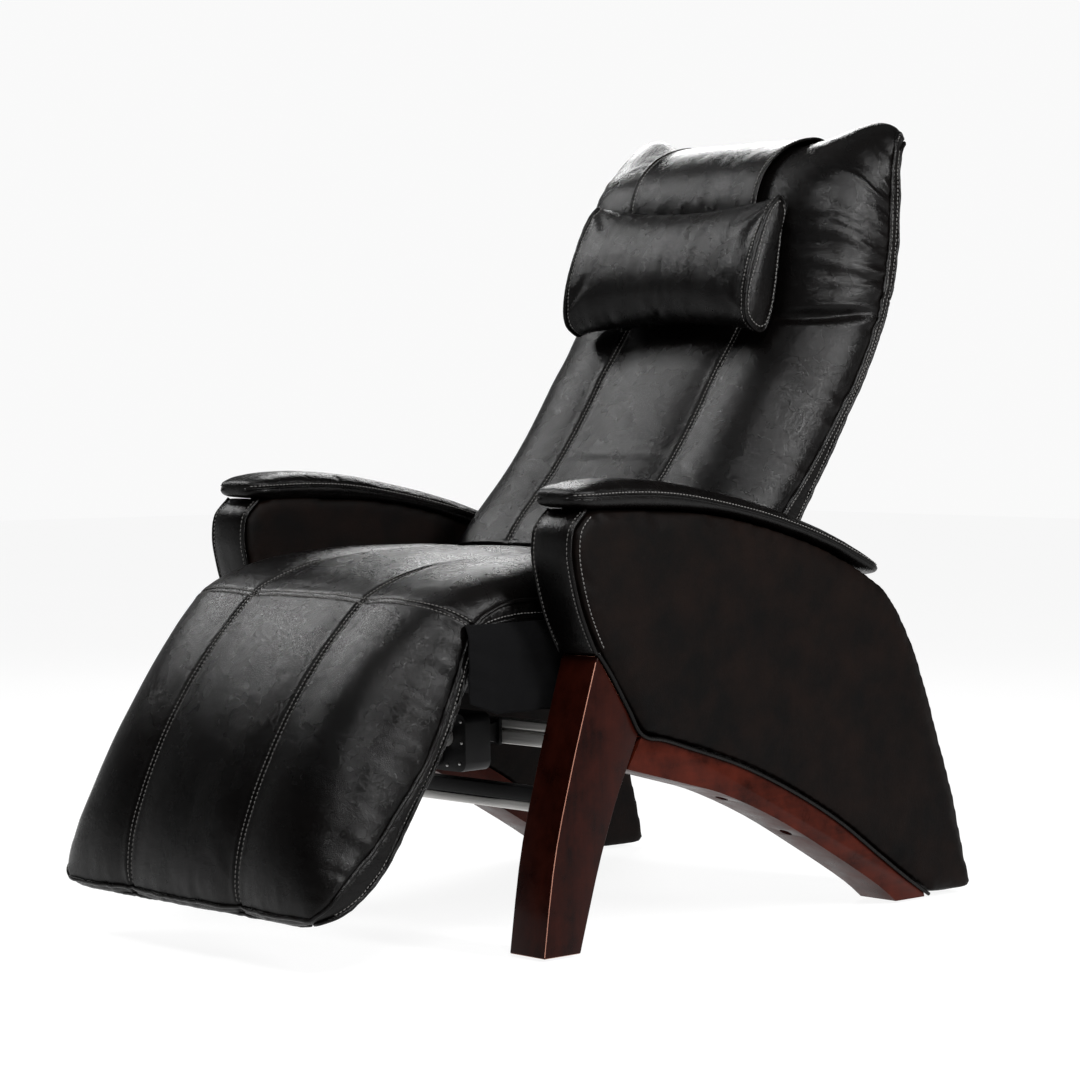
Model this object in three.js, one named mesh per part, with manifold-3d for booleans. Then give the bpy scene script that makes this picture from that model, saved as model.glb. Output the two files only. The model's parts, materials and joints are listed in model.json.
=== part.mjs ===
// Zero gravity recliner: an upholstered reclining chair on an arched wooden base.
// Millimetres, +Z up. The sitter faces -Y, the floor is Z = 0 and X = 0 is the plane of symmetry.
// "left" and "right" are the sitter's own, so left is +X.
import * as THREE from 'three';
import { mergeVertices } from 'three/addons/utils/BufferGeometryUtils.js';
import Module from 'manifold-3d';

const wasm = await Module();
wasm.setup();

// ---------------------------------------------------------------- driving dimensions

const GAP = 0.4; // between pieces that touch
const degrees = THREE.MathUtils.degToRad;

// The chair is drawn from the leg's floor point and moved along Y so that its box is centred.
const CENTRE_SHIFT = 8.52;

// widths, as distances from the plane of symmetry
const PAD_HALF_WIDTH = 285; // seat, back and leg-rest upholstery
const SHELL_HALF_WIDTH = 282;
const RAIL = { inner: 256, outer: 280 }; // seat side rails
const INNER_RAIL = { inner: 222, outer: 242 }; // back and leg-rest side rails
const BACK_LINK = { inner: 246, outer: 251 };
const LEG_LINK = { inner: 286.5, outer: 291.5 };
const BRACKET = { inner: 297, outer: 303 };
const ARM = { inner: 304, outer: 385 };
const WOOD = { inner: 310, outer: 377 };
const STRIP = { inner: 308, outer: 379 };

// pivots, as (Y, Z)
const SEAT_PIVOT = [60, 330];
const KNEE = [-322, 412];
const BACK_HINGE = [200, 405];
const LEG_LINK_GROUND = [33.6, 386.5];
const BACK_LINK_GROUND = [94.6, 310.3];
const ACTUATOR_PIVOT = [-68, 258];

const LEG_LEAN = 33; // degrees from the vertical, foot forward
const BACK_LEAN = 30.4; // degrees from the vertical, head to the rear

// pins and the holes round them
const MAIN_PIN_R = 7;
const LINK_PIN_R = 5;
const RUNNING_CLEARANCE = 0.5;
const OPEN_EYE_CLEARANCE = 3; // a link's free eye, which follows its pin to within 2.5 mm
const EYE_R = 16;

// floor and wood
const GLIDE_HEIGHT = 3;
const GLIDE_R = 14;
const WOOD_BOTTOM = GLIDE_HEIGHT + GAP;

// ---------------------------------------------------------------- materials

function finish(color, roughness, metalness = 0) {
  return new THREE.MeshStandardMaterial({ color, roughness, metalness });
}

const leather = finish(0x16151a, 0.42);
const panelLeather = finish(0x1d1613, 0.5);
const cherryWood = finish(0x4a1710, 0.38);
const blackSteel = finish(0x17181a, 0.45, 0.6);
const zincSteel = finish(0x9a9da1, 0.35, 0.9);
const aluminium = finish(0xb4b2ae, 0.32, 0.9);
const blackPlastic = finish(0x0e0e10, 0.5);
const blackFabric = finish(0x121216, 0.9);

// ---------------------------------------------------------------- solids

// A solid of the boolean library from a closed three.js geometry.
function toSolid(geometry) {
  const bare = geometry.index ? geometry.toNonIndexed() : geometry.clone();
  bare.deleteAttribute('normal');
  bare.deleteAttribute('uv');
  const merged = mergeVertices(bare, 1e-4);
  return new wasm.Manifold(new wasm.Mesh({
    numProp: 3,
    vertProperties: new Float32Array(merged.attributes.position.array),
    triVerts: new Uint32Array(merged.index.array),
  }));
}

function toGeometry(solid) {
  const mesh = solid.getMesh();
  const geometry = new THREE.BufferGeometry();
  geometry.setAttribute('position', new THREE.BufferAttribute(new Float32Array(mesh.vertProperties), 3));
  geometry.setIndex(new THREE.BufferAttribute(new Uint32Array(mesh.triVerts), 1));
  const flat = geometry.toNonIndexed();
  flat.computeVertexNormals();
  return flat;
}

const cut = (base, ...tools) => toGeometry(tools.reduce((s, t) => s.subtract(toSolid(t)), toSolid(base)));
const fuse = (...pieces) => toGeometry(pieces.map(toSolid).reduce((a, b) => a.add(b)));

function mirrored(geometry) {
  const copy = geometry.index ? geometry.toNonIndexed() : geometry.clone();
  const position = copy.attributes.position;
  for (let i = 0; i < position.count; i += 3) {
    const corners = [0, 2, 1].map((k) => new THREE.Vector3().fromBufferAttribute(position, i + k));
    corners.forEach((corner, k) => position.setXYZ(i + k, -corner.x, corner.y, corner.z));
  }
  copy.computeVertexNormals();
  return copy;
}

const points = (pairs) => pairs.map(([y, z]) => new THREE.Vector2(y, z));
const curve = (pairs, steps) => new THREE.SplineCurve(points(pairs)).getPoints(steps);

// A slab of constant section: the outline lies in the (Y, Z) plane and is extruded along X.
function slab(outline, x0, x1, holes = []) {
  const shape = outline instanceof THREE.Shape ? outline : new THREE.Shape(outline);
  holes.forEach(([y, z, r]) => shape.holes.push(new THREE.Path().absarc(y, z, r, 0, 2 * Math.PI)));
  const geometry = new THREE.ExtrudeGeometry(shape, { depth: x1 - x0, bevelEnabled: false, curveSegments: 6 });
  const turn = new THREE.Matrix4().makeBasis(
    new THREE.Vector3(0, 1, 0), new THREE.Vector3(0, 0, 1), new THREE.Vector3(1, 0, 0));
  return geometry.applyMatrix4(turn).translate(x0, 0, 0);
}

function box(x0, x1, y0, y1, z0, z1) {
  return new THREE.BoxGeometry(x1 - x0, y1 - y0, z1 - z0)
    .translate((x0 + x1) / 2, (y0 + y1) / 2, (z0 + z1) / 2);
}

// A round bar along X, centred on (y, z).
function barX(x0, x1, [y, z], r, sides = 16) {
  return new THREE.CylinderGeometry(r, r, x1 - x0, sides).rotateZ(Math.PI / 2).translate((x0 + x1) / 2, y, z);
}

// A closed skin over a row of rings, each with the same number of points.
function loft(rings) {
  const count = rings[0].length;
  const corners = [];
  const triangle = (a, b, c) => corners.push(...a, ...b, ...c);
  for (let i = 0; i + 1 < rings.length; i += 1) {
    for (let j = 0; j < count; j += 1) {
      const k = (j + 1) % count;
      triangle(rings[i][j], rings[i][k], rings[i + 1][k]);
      triangle(rings[i][j], rings[i + 1][k], rings[i + 1][j]);
    }
  }
  // An end ring is closed from both of its ends at once, across the shorter diagonal each time.
  const cap = (ring, flip) => {
    const span = (i, j) => Math.hypot(...ring[i].map((value, k) => value - ring[j][k]));
    let [a, b] = [0, count - 1];
    while (b - a > 1) {
      const forward = span(a + 1, b) <= span(a, b - 1);
      const middle = forward ? a + 1 : b - 1;
      const order = flip ? [a, b, middle] : [a, middle, b];
      triangle(...order.map((i) => ring[i]));
      if (forward) a += 1;
      else b -= 1;
    }
  };
  cap(rings[0], true);
  cap(rings.at(-1), false);
  const geometry = new THREE.BufferGeometry();
  geometry.setAttribute('position', new THREE.Float32BufferAttribute(corners, 3));
  const solid = toSolid(geometry);
  if (solid.volume() > 0) return toGeometry(solid);
  return toGeometry(toSolid(flipped(geometry)));
}

function flipped(geometry) {
  const position = geometry.attributes.position.clone();
  for (let i = 0; i < position.count; i += 3) {
    const b = new THREE.Vector3().fromBufferAttribute(position, i + 1);
    const c = new THREE.Vector3().fromBufferAttribute(position, i + 2);
    position.setXYZ(i + 1, c.x, c.y, c.z);
    position.setXYZ(i + 2, b.x, b.y, b.z);
  }
  const copy = new THREE.BufferGeometry();
  copy.setAttribute('position', position);
  return copy;
}

// An upholstered pad: its front face bulges from the edge line at the sides to the crown line in the middle.
// crown, edge and rear are (Y, Z) lines that run the same way; lift(x, z) raises a point of the crown.
const PAD_STATIONS = [-1, -0.97, -0.88, -0.72, -0.45, 0, 0.45, 0.72, 0.88, 0.97, 1];
const PAD_STEPS = 14;

function crownedPad({ crown, edge, rear, lift = () => 0 }) {
  const middle = curve(crown, PAD_STEPS);
  const side = curve(edge, PAD_STEPS);
  const back = points(rear).reverse();
  const rings = PAD_STATIONS.map((station) => {
    const fullness = (1 - Math.abs(station) ** 3) ** 0.5;
    const x = station * PAD_HALF_WIDTH;
    const front = side.map((p, i) => p.clone().lerp(middle[i], fullness));
    return [...front, ...back].map((p) => [x, p.x, p.y + lift(x, p.y)]);
  });
  return loft(rings);
}

// ---------------------------------------------------------------- assembly helpers

const chair = new THREE.Group();
chair.position.y = CENTRE_SHIFT;

function add(parent, name, geometry, material) {
  const mesh = new THREE.Mesh(geometry, material);
  mesh.name = name;
  parent.add(mesh);
}

// One piece at +X, the sitter's left, and its mirror image at -X.
function addPair(parent, name, geometry, material) {
  add(parent, `left_${name}`, geometry, material);
  add(parent, `right_${name}`, mirrored(geometry), material);
}

function framedGroup([y, z], lean) {
  const group = new THREE.Group();
  group.position.set(0, y, z);
  group.rotation.x = -degrees(lean);
  chair.add(group);
  return group;
}

// ---------------------------------------------------------------- wooden base and arms

// The seam between the arm panel and the wood: down the front leg's cut top, then along the arch.
const SEAM_TOP = [-204, 400];
const SEAM_CORNER = [-119, 284];
const ARCH_SEAM = [SEAM_CORNER, [-28, 261], [73, 230], [177, 187], [284, 132], [373, 75], [441, 32], [488, 4]];
const ARCH_SEAM_STEPS = 20;
const PAD_UNDERSIDE = [[-250, 594], [-206, 594], [-112, 594], [25, 585], [148, 561], [254, 530], [345, 492]];
const ARM_FRONT = [[-225, 588], [-249, 563], [-253, 536], [-246, 496], [-233, 456], [-214, 417], SEAM_TOP];
const STRIP_THICKNESS = 8;

const shifted = (line, dy, dz = 0) => line.map((p) => new THREE.Vector2(p.x + dy, p.y + dz));

function armPanel() {
  const front = curve(ARM_FRONT, 12);
  const seam = curve(ARCH_SEAM, ARCH_SEAM_STEPS);
  const rearFoot = curve([[568, WOOD_BOTTOM], [581, 8], [584, 20], [569, 79]], 6);
  const rear = curve([[569, 79], [545, 156], [509, 248], [474, 332], [439, 400], [393, 460], [345, 489]], 14);
  const top = shifted(curve(PAD_UNDERSIDE.slice(1), 10), 0, -1.5).reverse();
  const toe = new THREE.Vector2(492, WOOD_BOTTOM);
  const outline = [...front, ...seam, toe, ...rearFoot, ...rear.slice(1), ...top];
  return slab(outline, ARM.inner, ARM.outer);
}

function armFrontStrip() {
  const inner = curve(ARM_FRONT, 12);
  const outline = [...shifted(inner, -STRIP_THICKNESS), ...shifted(inner, -GAP).reverse()];
  return slab(outline, STRIP.inner, STRIP.outer);
}

const LEG_REAR = [[-124, 290], [-147, 241], [-166, 202], [-196, 124], [-220, 47], [-233, WOOD_BOTTOM]];

function frontLeg() {
  const front = curve([[-300, WOOD_BOTTOM], [-281, 133], [-250, 249], [-226, 326], [-206, 388]], 14);
  const rear = curve(LEG_REAR, 12);
  return slab([...front, new THREE.Vector2(-202, 396), ...rear], WOOD.inner, WOOD.outer);
}

const ARCH_BOLTS = [[75, 182, 27], [211, 126, 25]]; // (Y, Z) on the underside, and the slope there in degrees
const BOLT = { headR: 8, headHeight: 6, shankR: 4, length: 62, recess: 14 };

// A round bar that rises from a point on the arch's underside, square to it.
function boltAxis([y, z, slope], r, from, to) {
  return new THREE.CylinderGeometry(r, r, to - from, 16)
    .translate(0, (from + to) / 2, 0)
    .rotateX(Math.PI / 2 - degrees(slope))
    .translate((WOOD.inner + WOOD.outer) / 2, y, z);
}

const boltHoles = () => ARCH_BOLTS.flatMap((place) => [
  boltAxis(place, BOLT.headR + 1.5, -10, BOLT.recess),
  boltAxis(place, BOLT.shankR + RUNNING_CLEARANCE, 0, BOLT.length + 2),
]);

function archRail() {
  const upper = shifted(curve(ARCH_SEAM, ARCH_SEAM_STEPS), 0, -GAP).slice(0, -1);
  const lower = curve([
    [-146, 241], [-26, 211], [51, 189], [156, 146], [265, 90], [367, 34], [412, WOOD_BOTTOM]], 20);
  const toe = new THREE.Vector2(478, WOOD_BOTTOM);
  const outline = [...shifted(lower, GAP), toe, ...upper.reverse()];
  return slab(outline, WOOD.inner, WOOD.outer);
}

function archBolt(place) {
  const head = boltAxis(place, BOLT.headR, BOLT.recess - BOLT.headHeight - 0.2, BOLT.recess - 0.2);
  const shank = boltAxis(place, BOLT.shankR, BOLT.recess - 2, BOLT.length);
  return fuse(head, shank);
}

const ARM_PAD = {
  centre: 340, halfWidth: 50, front: -250, rear: 370, frontRound: 30, rearRound: 26,
  top: [[-250, 608], [-246, 615], [-232, 623], [-205, 629], [-175, 631], [-80, 627], [39, 608], [162, 581],
    [268, 547], [340, 515], [370, 498]],
  under: [[-250, 598], [-240, 594.5], [-206, 594], [-112, 594], [25, 585], [148, 561], [254, 530], [345, 492],
    [370, 486]],
};

function heightAt(line, y) {
  const samples = curve(line, 60);
  const i = Math.max(1, samples.findIndex((p) => p.x >= y - 1e-6));
  const [a, b] = [samples[i - 1], samples[i]];
  return a.y + ((b.y - a.y) * (y - a.x)) / (b.x - a.x);
}

// Half the pad's width at a station: full, with both ends' corners rounded.
function padHalfWidth(y) {
  const { halfWidth, front, rear, frontRound, rearRound } = ARM_PAD;
  const lost = (r, d) => (d < r ? r - Math.sqrt(r * r - (r - d) ** 2) : 0);
  return halfWidth - lost(frontRound, y - front) - lost(rearRound, rear - y);
}

function armPad() {
  const stations = [
    0, 0.004, 0.012, 0.026, 0.046, 0.1, 0.2, 0.32, 0.45, 0.6, 0.75, 0.87, 0.958, 0.978, 0.992, 1];
  const corners = 12;
  const rings = stations.map((t) => {
    const y = THREE.MathUtils.lerp(ARM_PAD.front, ARM_PAD.rear, t);
    const [top, under] = [heightAt(ARM_PAD.top, y), heightAt(ARM_PAD.under, y)];
    return Array.from({ length: corners }, (_, i) => {
      const angle = (2 * Math.PI * i) / corners;
      const [c, s] = [Math.cos(angle), Math.sin(angle)];
      const x = ARM_PAD.centre + padHalfWidth(y) * Math.sign(c) * Math.abs(c) ** 0.5;
      return [x, y, (top + under) / 2 + ((top - under) / 2) * Math.sign(s) * Math.abs(s) ** 0.7];
    });
  });
  return loft(rings);
}

function glide(y) {
  return new THREE.CylinderGeometry(GLIDE_R, GLIDE_R, GLIDE_HEIGHT, 20)
    .rotateX(Math.PI / 2)
    .translate((WOOD.inner + WOOD.outer) / 2, y, GLIDE_HEIGHT / 2);
}

addPair(chair, 'front_leg', frontLeg(), cherryWood);
addPair(chair, 'arch_rail', cut(archRail(), ...boltHoles()), cherryWood);
addPair(chair, 'arm_panel', cut(armPanel(), ...boltHoles()), panelLeather);
addPair(chair, 'arm_front_strip', armFrontStrip(), leather);
addPair(chair, 'arm_pad', armPad(), leather);
addPair(chair, 'front_glide', glide(-266), blackPlastic);
addPair(chair, 'rear_glide', glide(445), blackPlastic);
addPair(chair, 'front_arch_bolt', archBolt(ARCH_BOLTS[0]), zincSteel);
addPair(chair, 'rear_arch_bolt', archBolt(ARCH_BOLTS[1]), zincSteel);

// ---------------------------------------------------------------- cross members and pivot brackets

const LOWER_BAR = { y0: -232, y1: -208, trimBottom: 183, bottom: 195, top: 215 };
const UPPER_RAIL = { y0: -46, y1: -18, bottom: 242, top: 277, slot: 5, slotDepth: 7 };

function upperCrossRail() {
  const { y0, y1, bottom, top, slot, slotDepth } = UPPER_RAIL;
  const half = BRACKET.inner - GAP;
  const middle = (bottom + top) / 2 + 3;
  const body = box(-half, half, y0, y1, bottom, top);
  const groove = box(-half - 1, half + 1, y0 - 1, y0 + slotDepth, middle - slot / 2, middle + slot / 2);
  return cut(body, groove);
}

function pivotBracket() {
  const outline = points([
    [-60, 236], [60, 236], [122, 292], [122, 330], [80, 405], [10, 410], [-14, 380], [-22, 300], [-60, 284]]);
  const plate = slab(outline, BRACKET.inner, BRACKET.outer);
  const stud = (place, reach, r) => barX(reach, BRACKET.inner + 1, place, r);
  return fuse(
    plate,
    stud(SEAT_PIVOT, RAIL.inner - 1, MAIN_PIN_R),
    stud(LEG_LINK_GROUND, LEG_LINK.inner - 1, LINK_PIN_R),
    stud(BACK_LINK_GROUND, BACK_LINK.inner - 1, LINK_PIN_R));
}

const ACTUATOR_EAR = { inner: 14, outer: 18, r: 11 };

function actuatorBracket() {
  const [y, z] = ACTUATOR_PIVOT;
  const face = UPPER_RAIL.y0 - GAP;
  const ear = new THREE.Shape();
  ear.moveTo(face - 1, z - 16);
  ear.lineTo(face - 1, z + 16);
  ear.absarc(y, z, ACTUATOR_EAR.r, Math.PI / 2, -Math.PI / 2, false);
  const { inner, outer } = ACTUATOR_EAR;
  return fuse(
    box(-24, 24, face - 5, face, UPPER_RAIL.bottom - 2, UPPER_RAIL.top + 2),
    slab(ear, inner, outer),
    slab(ear, -outer, -inner),
    barX(-outer - 2, outer + 2, ACTUATOR_PIVOT, LINK_PIN_R));
}

function controlBox() {
  const body = box(70, 190, UPPER_RAIL.y1 + GAP, 24, 238, 274);
  const inlet = box(118, 142, 14, 26, 250, 262);
  return cut(body, inlet);
}

const legToLeg = WOOD.inner - GAP;
const armToArm = ARM.inner - GAP;
const acrossLegs = (y0, y1, z0, z1) => box(-legToLeg, legToLeg, y0, y1, z0, z1);
add(chair, 'front_cross_bar',
  acrossLegs(LOWER_BAR.y0, LOWER_BAR.y1, LOWER_BAR.bottom, LOWER_BAR.top), blackSteel);
add(chair, 'front_bar_trim',
  acrossLegs(LOWER_BAR.y0 - 1, LOWER_BAR.y1 - 2, LOWER_BAR.trimBottom, LOWER_BAR.bottom - GAP), aluminium);
add(chair, 'upper_cross_rail', upperCrossRail(), aluminium);
add(chair, 'rear_cross_rail', box(-armToArm, armToArm, 436, 464, 258, 300), cherryWood);
addPair(chair, 'pivot_bracket', pivotBracket(), blackSteel);
add(chair, 'actuator_bracket', actuatorBracket(), blackSteel);
add(chair, 'control_box', controlBox(), blackPlastic);

// ---------------------------------------------------------------- seat

const SEAT_RAIL = { top: 428, bottom: 396 };
const TUBE_R = 11;

function seatRail() {
  const [py, pz] = SEAT_PIVOT;
  const [ky, kz] = KNEE;
  const [by, bz] = BACK_HINGE;
  const lugR = 19;
  const shape = new THREE.Shape();
  shape.moveTo(ky, kz + EYE_R);
  shape.absarc(ky, kz, EYE_R, Math.PI / 2, -Math.PI / 2, false);
  shape.lineTo(py - 40, SEAT_RAIL.bottom);
  shape.absarc(py, pz, lugR, Math.PI, 0, false);
  shape.lineTo(py + 45, SEAT_RAIL.bottom - 3);
  shape.absarc(by, bz, EYE_R, -Math.PI / 2, Math.PI / 2, false);
  shape.lineTo(by - 30, SEAT_RAIL.top);
  const hole = MAIN_PIN_R + RUNNING_CLEARANCE;
  return slab(shape, RAIL.inner, RAIL.outer, [[ky, kz, hole], [by, bz, hole], [py, pz, hole]]);
}

function hingePin(place) {
  const head = barX(RAIL.outer + GAP, RAIL.outer + 4, place, MAIN_PIN_R + 3);
  const shank = barX(INNER_RAIL.inner - 2, RAIL.outer + 2, place, MAIN_PIN_R);
  return fuse(head, shank);
}

const SEAT_PAD = {
  crown: [[-317, 499], [-290, 508], [-213, 518], [-79, 520], [20, 519], [78, 514]],
  edge: [[-317, 448], [-290, 459], [-224, 467], [-79, 473], [60, 475], [142, 470]],
  rear: [[-317, 437], [196, 437]],
};

const DUST_COVER = [[-293, 424], [-289, 388], [-236, 342], [-110, 316], [22, 316], [40, 368], [40, 424]];
const DUST_COVER_THICKNESS = 2;

// A band of constant thickness along a (Y, Z) line, on the line's left as it runs.
function band(line, thickness, x0, x1) {
  const inner = line.map((p, i) => {
    const before = line[Math.max(0, i - 1)];
    const after = line[Math.min(line.length - 1, i + 1)];
    const into = p.clone().sub(before).normalize();
    const out = after.clone().sub(p).normalize();
    const along = into.add(out).normalize();
    return new THREE.Vector2(p.x - along.y * thickness, p.y + along.x * thickness);
  });
  return slab([...line, ...inner.reverse()], x0, x1);
}

addPair(chair, 'seat_rail', seatRail(), blackSteel);
addPair(chair, 'knee_pin', hingePin(KNEE), blackSteel);
addPair(chair, 'back_pin', hingePin(BACK_HINGE), blackSteel);
const tubeReach = RAIL.inner - GAP;
add(chair, 'seat_front_tube', barX(-tubeReach, tubeReach, [-268, 402], TUBE_R, 20), blackSteel);
add(chair, 'seat_rear_tube', barX(-tubeReach, tubeReach, [62, 382], TUBE_R, 20), blackSteel);
add(chair, 'seat_deck', box(-250, 250, -290, 88, SEAT_RAIL.top + GAP, SEAT_RAIL.top + 6), blackFabric);
add(chair, 'dust_cover', band(points(DUST_COVER), DUST_COVER_THICKNESS, -218, 218), blackFabric);
add(chair, 'seat_cushion', crownedPad(SEAT_PAD), leather);

// ---------------------------------------------------------------- back
// In the back's own frame the hinge is the origin, +Z runs up the back and -Y faces the sitter.

const back = framedGroup(BACK_HINGE, BACK_LEAN);
const BACK_RAIL = { front: 3, rear: 24, top: 545 };
const BACK_LUG = [-69, -40.5];
const SHELL_REAR = [[30, 32], [30, 300], [30, 520], [26, 580], [3, 657], [-14, 715], [-45, 768]];
const SHELL_DEPTH = 28;
const SHELL_WALL = 5;
const HEAD_SPLIT = 458; // where the head cushion meets the back cushion
const EAR = { height: 38, place: 242, width: 60 };

function backRail() {
  const [ly, lz] = BACK_LUG;
  const shape = new THREE.Shape();
  shape.moveTo(BACK_RAIL.rear, 44);
  shape.lineTo(BACK_RAIL.rear, BACK_RAIL.top);
  shape.lineTo(BACK_RAIL.front, BACK_RAIL.top);
  shape.lineTo(BACK_RAIL.front, 52);
  shape.lineTo(-15, 12);
  shape.absarc(ly, lz, 11, degrees(120), degrees(300), false);
  shape.absarc(0, 0, EYE_R, degrees(-60), degrees(0), false);
  const rail = slab(shape, INNER_RAIL.inner, INNER_RAIL.outer, [[0, 0, MAIN_PIN_R + RUNNING_CLEARANCE]]);
  return fuse(rail, barX(INNER_RAIL.inner + 2, BACK_LINK.outer + 2, BACK_LUG, LINK_PIN_R));
}

function backShell() {
  const rear = curve(SHELL_REAR, 22);
  const body = band(rear, SHELL_DEPTH, -SHELL_HALF_WIDTH, SHELL_HALF_WIDTH);
  const inside = SHELL_HALF_WIDTH - SHELL_WALL;
  return cut(body, box(-inside, inside, -60, 30 - SHELL_WALL, 0, BACK_RAIL.top + 4));
}

const BACK_PAD = {
  crown: [[-152, 46], [-147, 89], [-122, 189], [-107, 311], [-103, 374], [-94, 436], [-90, HEAD_SPLIT - GAP]],
  edge: [[-60, 46], [-46, 110], [-30, 189], [-14, 298], [-10, 374], [-9, 420], [-10, HEAD_SPLIT - GAP]],
  rear: [[-0.5, 46], [-0.5, HEAD_SPLIT - GAP]],
};

const HEAD_PAD = {
  crown: [
    [-90, HEAD_SPLIT + GAP], [-97, 482], [-127, 562], [-162, 640], [-165, 676], [-152, 717], [-118, 764], [-95, 784]],
  edge: [
    [-10, HEAD_SPLIT + GAP], [-9, 500], [-13, 560], [-38, 645], [-56, 700], [-74, 728], [-90, 752], [-102, 774]],
  rear: [[-0.5, HEAD_SPLIT + GAP], [-0.5, 560], [-28, 650], [-45, 706], [-78, 750], [-90, 770]],
  lift: (x, z) => EAR.height * Math.exp(-(((Math.abs(x) - EAR.place) / EAR.width) ** 2))
    * THREE.MathUtils.smoothstep(z, 715, 784),
};

// The strap lies on the head cushion, under the pillow, and goes over the top to the counterweight behind.
const STRAP_LINE = [
  [-96, 470], [-128, 553], [-167, 640], [-170, 678], [-157, 721], [-122, 771], [-92, 791],
  [-58, 788], [-30, 760], [2, 700], [24, 622], [34, 575]];
const STRAP = { halfWidth: 131, thickness: 2.5 };

add(back, 'back_shell', backShell(), leather);
addPair(back, 'back_rail', backRail(), blackSteel);
const innerReach = INNER_RAIL.inner - GAP;
add(back, 'back_top_tube', barX(-innerReach, innerReach, [13, 528], 9, 16), blackSteel);
add(back, 'lumbar_tube', barX(-innerReach, innerReach, [13, 210], 9, 16), blackSteel);
add(back, 'back_cushion', crownedPad(BACK_PAD), leather);
add(back, 'head_cushion', crownedPad(HEAD_PAD), leather);
add(back, 'pillow_strap',
  band(curve(STRAP_LINE, 30).reverse(), STRAP.thickness, -STRAP.halfWidth, STRAP.halfWidth), leather);

// ---------------------------------------------------------------- head pillow and its counterweight

const PILLOW_END = {
  rear: [[-171, 627], [-138, 545], [-114, 478], [-111, 438]],
  front: [[-126, 431], [-154, 432], [-171, 456], [-184, 533], [-192, 606], [-186, 629]],
};
const PILLOW_HALF_WIDTH = 190;
const PILLOW_SADDLE = 0.28; // how much of its depth the pillow loses in the middle

function headPillow() {
  const rear = curve(PILLOW_END.rear, 6);
  const front = curve(PILLOW_END.front, 10);
  const chord = (p) => -171 + ((627 - p.y) / (627 - 438)) * 60;
  const rings = [-1, -0.8, -0.5, 0, 0.5, 0.8, 1].map((station) => {
    const saddle = PILLOW_SADDLE * (1 - station * station);
    return [...rear, ...front].map((p) => {
      const base = chord(p);
      return [station * PILLOW_HALF_WIDTH, base + (p.x - base) * (p.x < base ? 1 - saddle : 1), p.y];
    });
  });
  return loft(rings);
}

function counterweight() {
  const outline = points([[38, 486], [54, 482], [64, 492], [66, 530], [62, 572], [52, 582], [38, 580]]);
  return slab(outline, -112, 112);
}

add(back, 'head_pillow', headPillow(), leather);
add(back, 'pillow_counterweight', counterweight(), leather);

// ---------------------------------------------------------------- leg rest
// In the leg rest's own frame the knee hinge is the origin, -Z runs down the leg and -Y faces forward.

const leg = framedGroup(KNEE, LEG_LEAN);
const LEG_RAIL = { front: 1.5, rear: 22, end: -322 };
const LEG_LUG = [12, -35];
const ROD_EYE = [45, -160];
const LEG_SHELL = { top: -46, rear: 28, hollowEnd: -328 };

function legRail() {
  const shape = new THREE.Shape();
  shape.moveTo(EYE_R, 0);
  shape.absarc(0, 0, EYE_R, 0, Math.PI, false);
  shape.lineTo(-12, -18);
  shape.lineTo(LEG_RAIL.front, -42);
  shape.lineTo(LEG_RAIL.front, LEG_RAIL.end);
  shape.lineTo(LEG_RAIL.rear, LEG_RAIL.end);
  shape.lineTo(LEG_RAIL.rear, -30);
  const rail = slab(shape, INNER_RAIL.inner, INNER_RAIL.outer, [[0, 0, MAIN_PIN_R + RUNNING_CLEARANCE]]);
  return fuse(rail, barX(INNER_RAIL.inner + 2, LEG_LINK.outer + 1, LEG_LUG, LINK_PIN_R));
}

const ROD_FORK = { inner: 12, outer: 16, r: 10 };

function legCrossTube() {
  const [y, z] = ROD_EYE;
  const { inner, outer, r } = ROD_FORK;
  const ear = new THREE.Shape();
  ear.moveTo(12, z + 9);
  ear.lineTo(12, z - 9);
  ear.absarc(y, z, r, -Math.PI / 2, Math.PI / 2, false);
  return fuse(
    barX(-innerReach, innerReach, [12, z], 9, 16),
    slab(ear, inner, outer),
    slab(ear, -outer, -inner),
    barX(-outer - 1, outer + 1, ROD_EYE, LINK_PIN_R));
}

function legShell() {
  const { top, rear, hollowEnd } = LEG_SHELL;
  const outline = points([[rear, top], [rear, -306], [12, -346], [0.5, -370], [0.5, top]]);
  const inside = SHELL_HALF_WIDTH - SHELL_WALL;
  const slot = ROD_FORK.outer + 6;
  return cut(
    slab(outline, -SHELL_HALF_WIDTH, SHELL_HALF_WIDTH),
    box(-inside, inside, -10, rear - SHELL_WALL, hollowEnd, 0),
    box(-slot, slot, 0, rear + 5, ROD_EYE[1] - 34, ROD_EYE[1] + 34));
}

const LEG_PAD = {
  crown: [
    [-90, 12], [-103, -41], [-116, -115], [-120, -193], [-117, -252], [-104, -321], [-88, -370], [-67, -410],
    [-50, -434]],
  edge: [
    [-26, -4], [-20, -60], [-14, -108], [-11, -174], [-14, -236], [-25, -321], [-38, -360], [-46, -390],
    [-49, -431]],
  rear: [[-2.5, -44], [-2.5, -372], [-19, -400], [-38, -430]],
};

add(leg, 'leg_shell', legShell(), leather);
addPair(leg, 'leg_rail', legRail(), blackSteel);
add(leg, 'leg_cross_tube', legCrossTube(), blackSteel);
add(leg, 'leg_cushion', crownedPad(LEG_PAD), leather);

// ---------------------------------------------------------------- links

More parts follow.
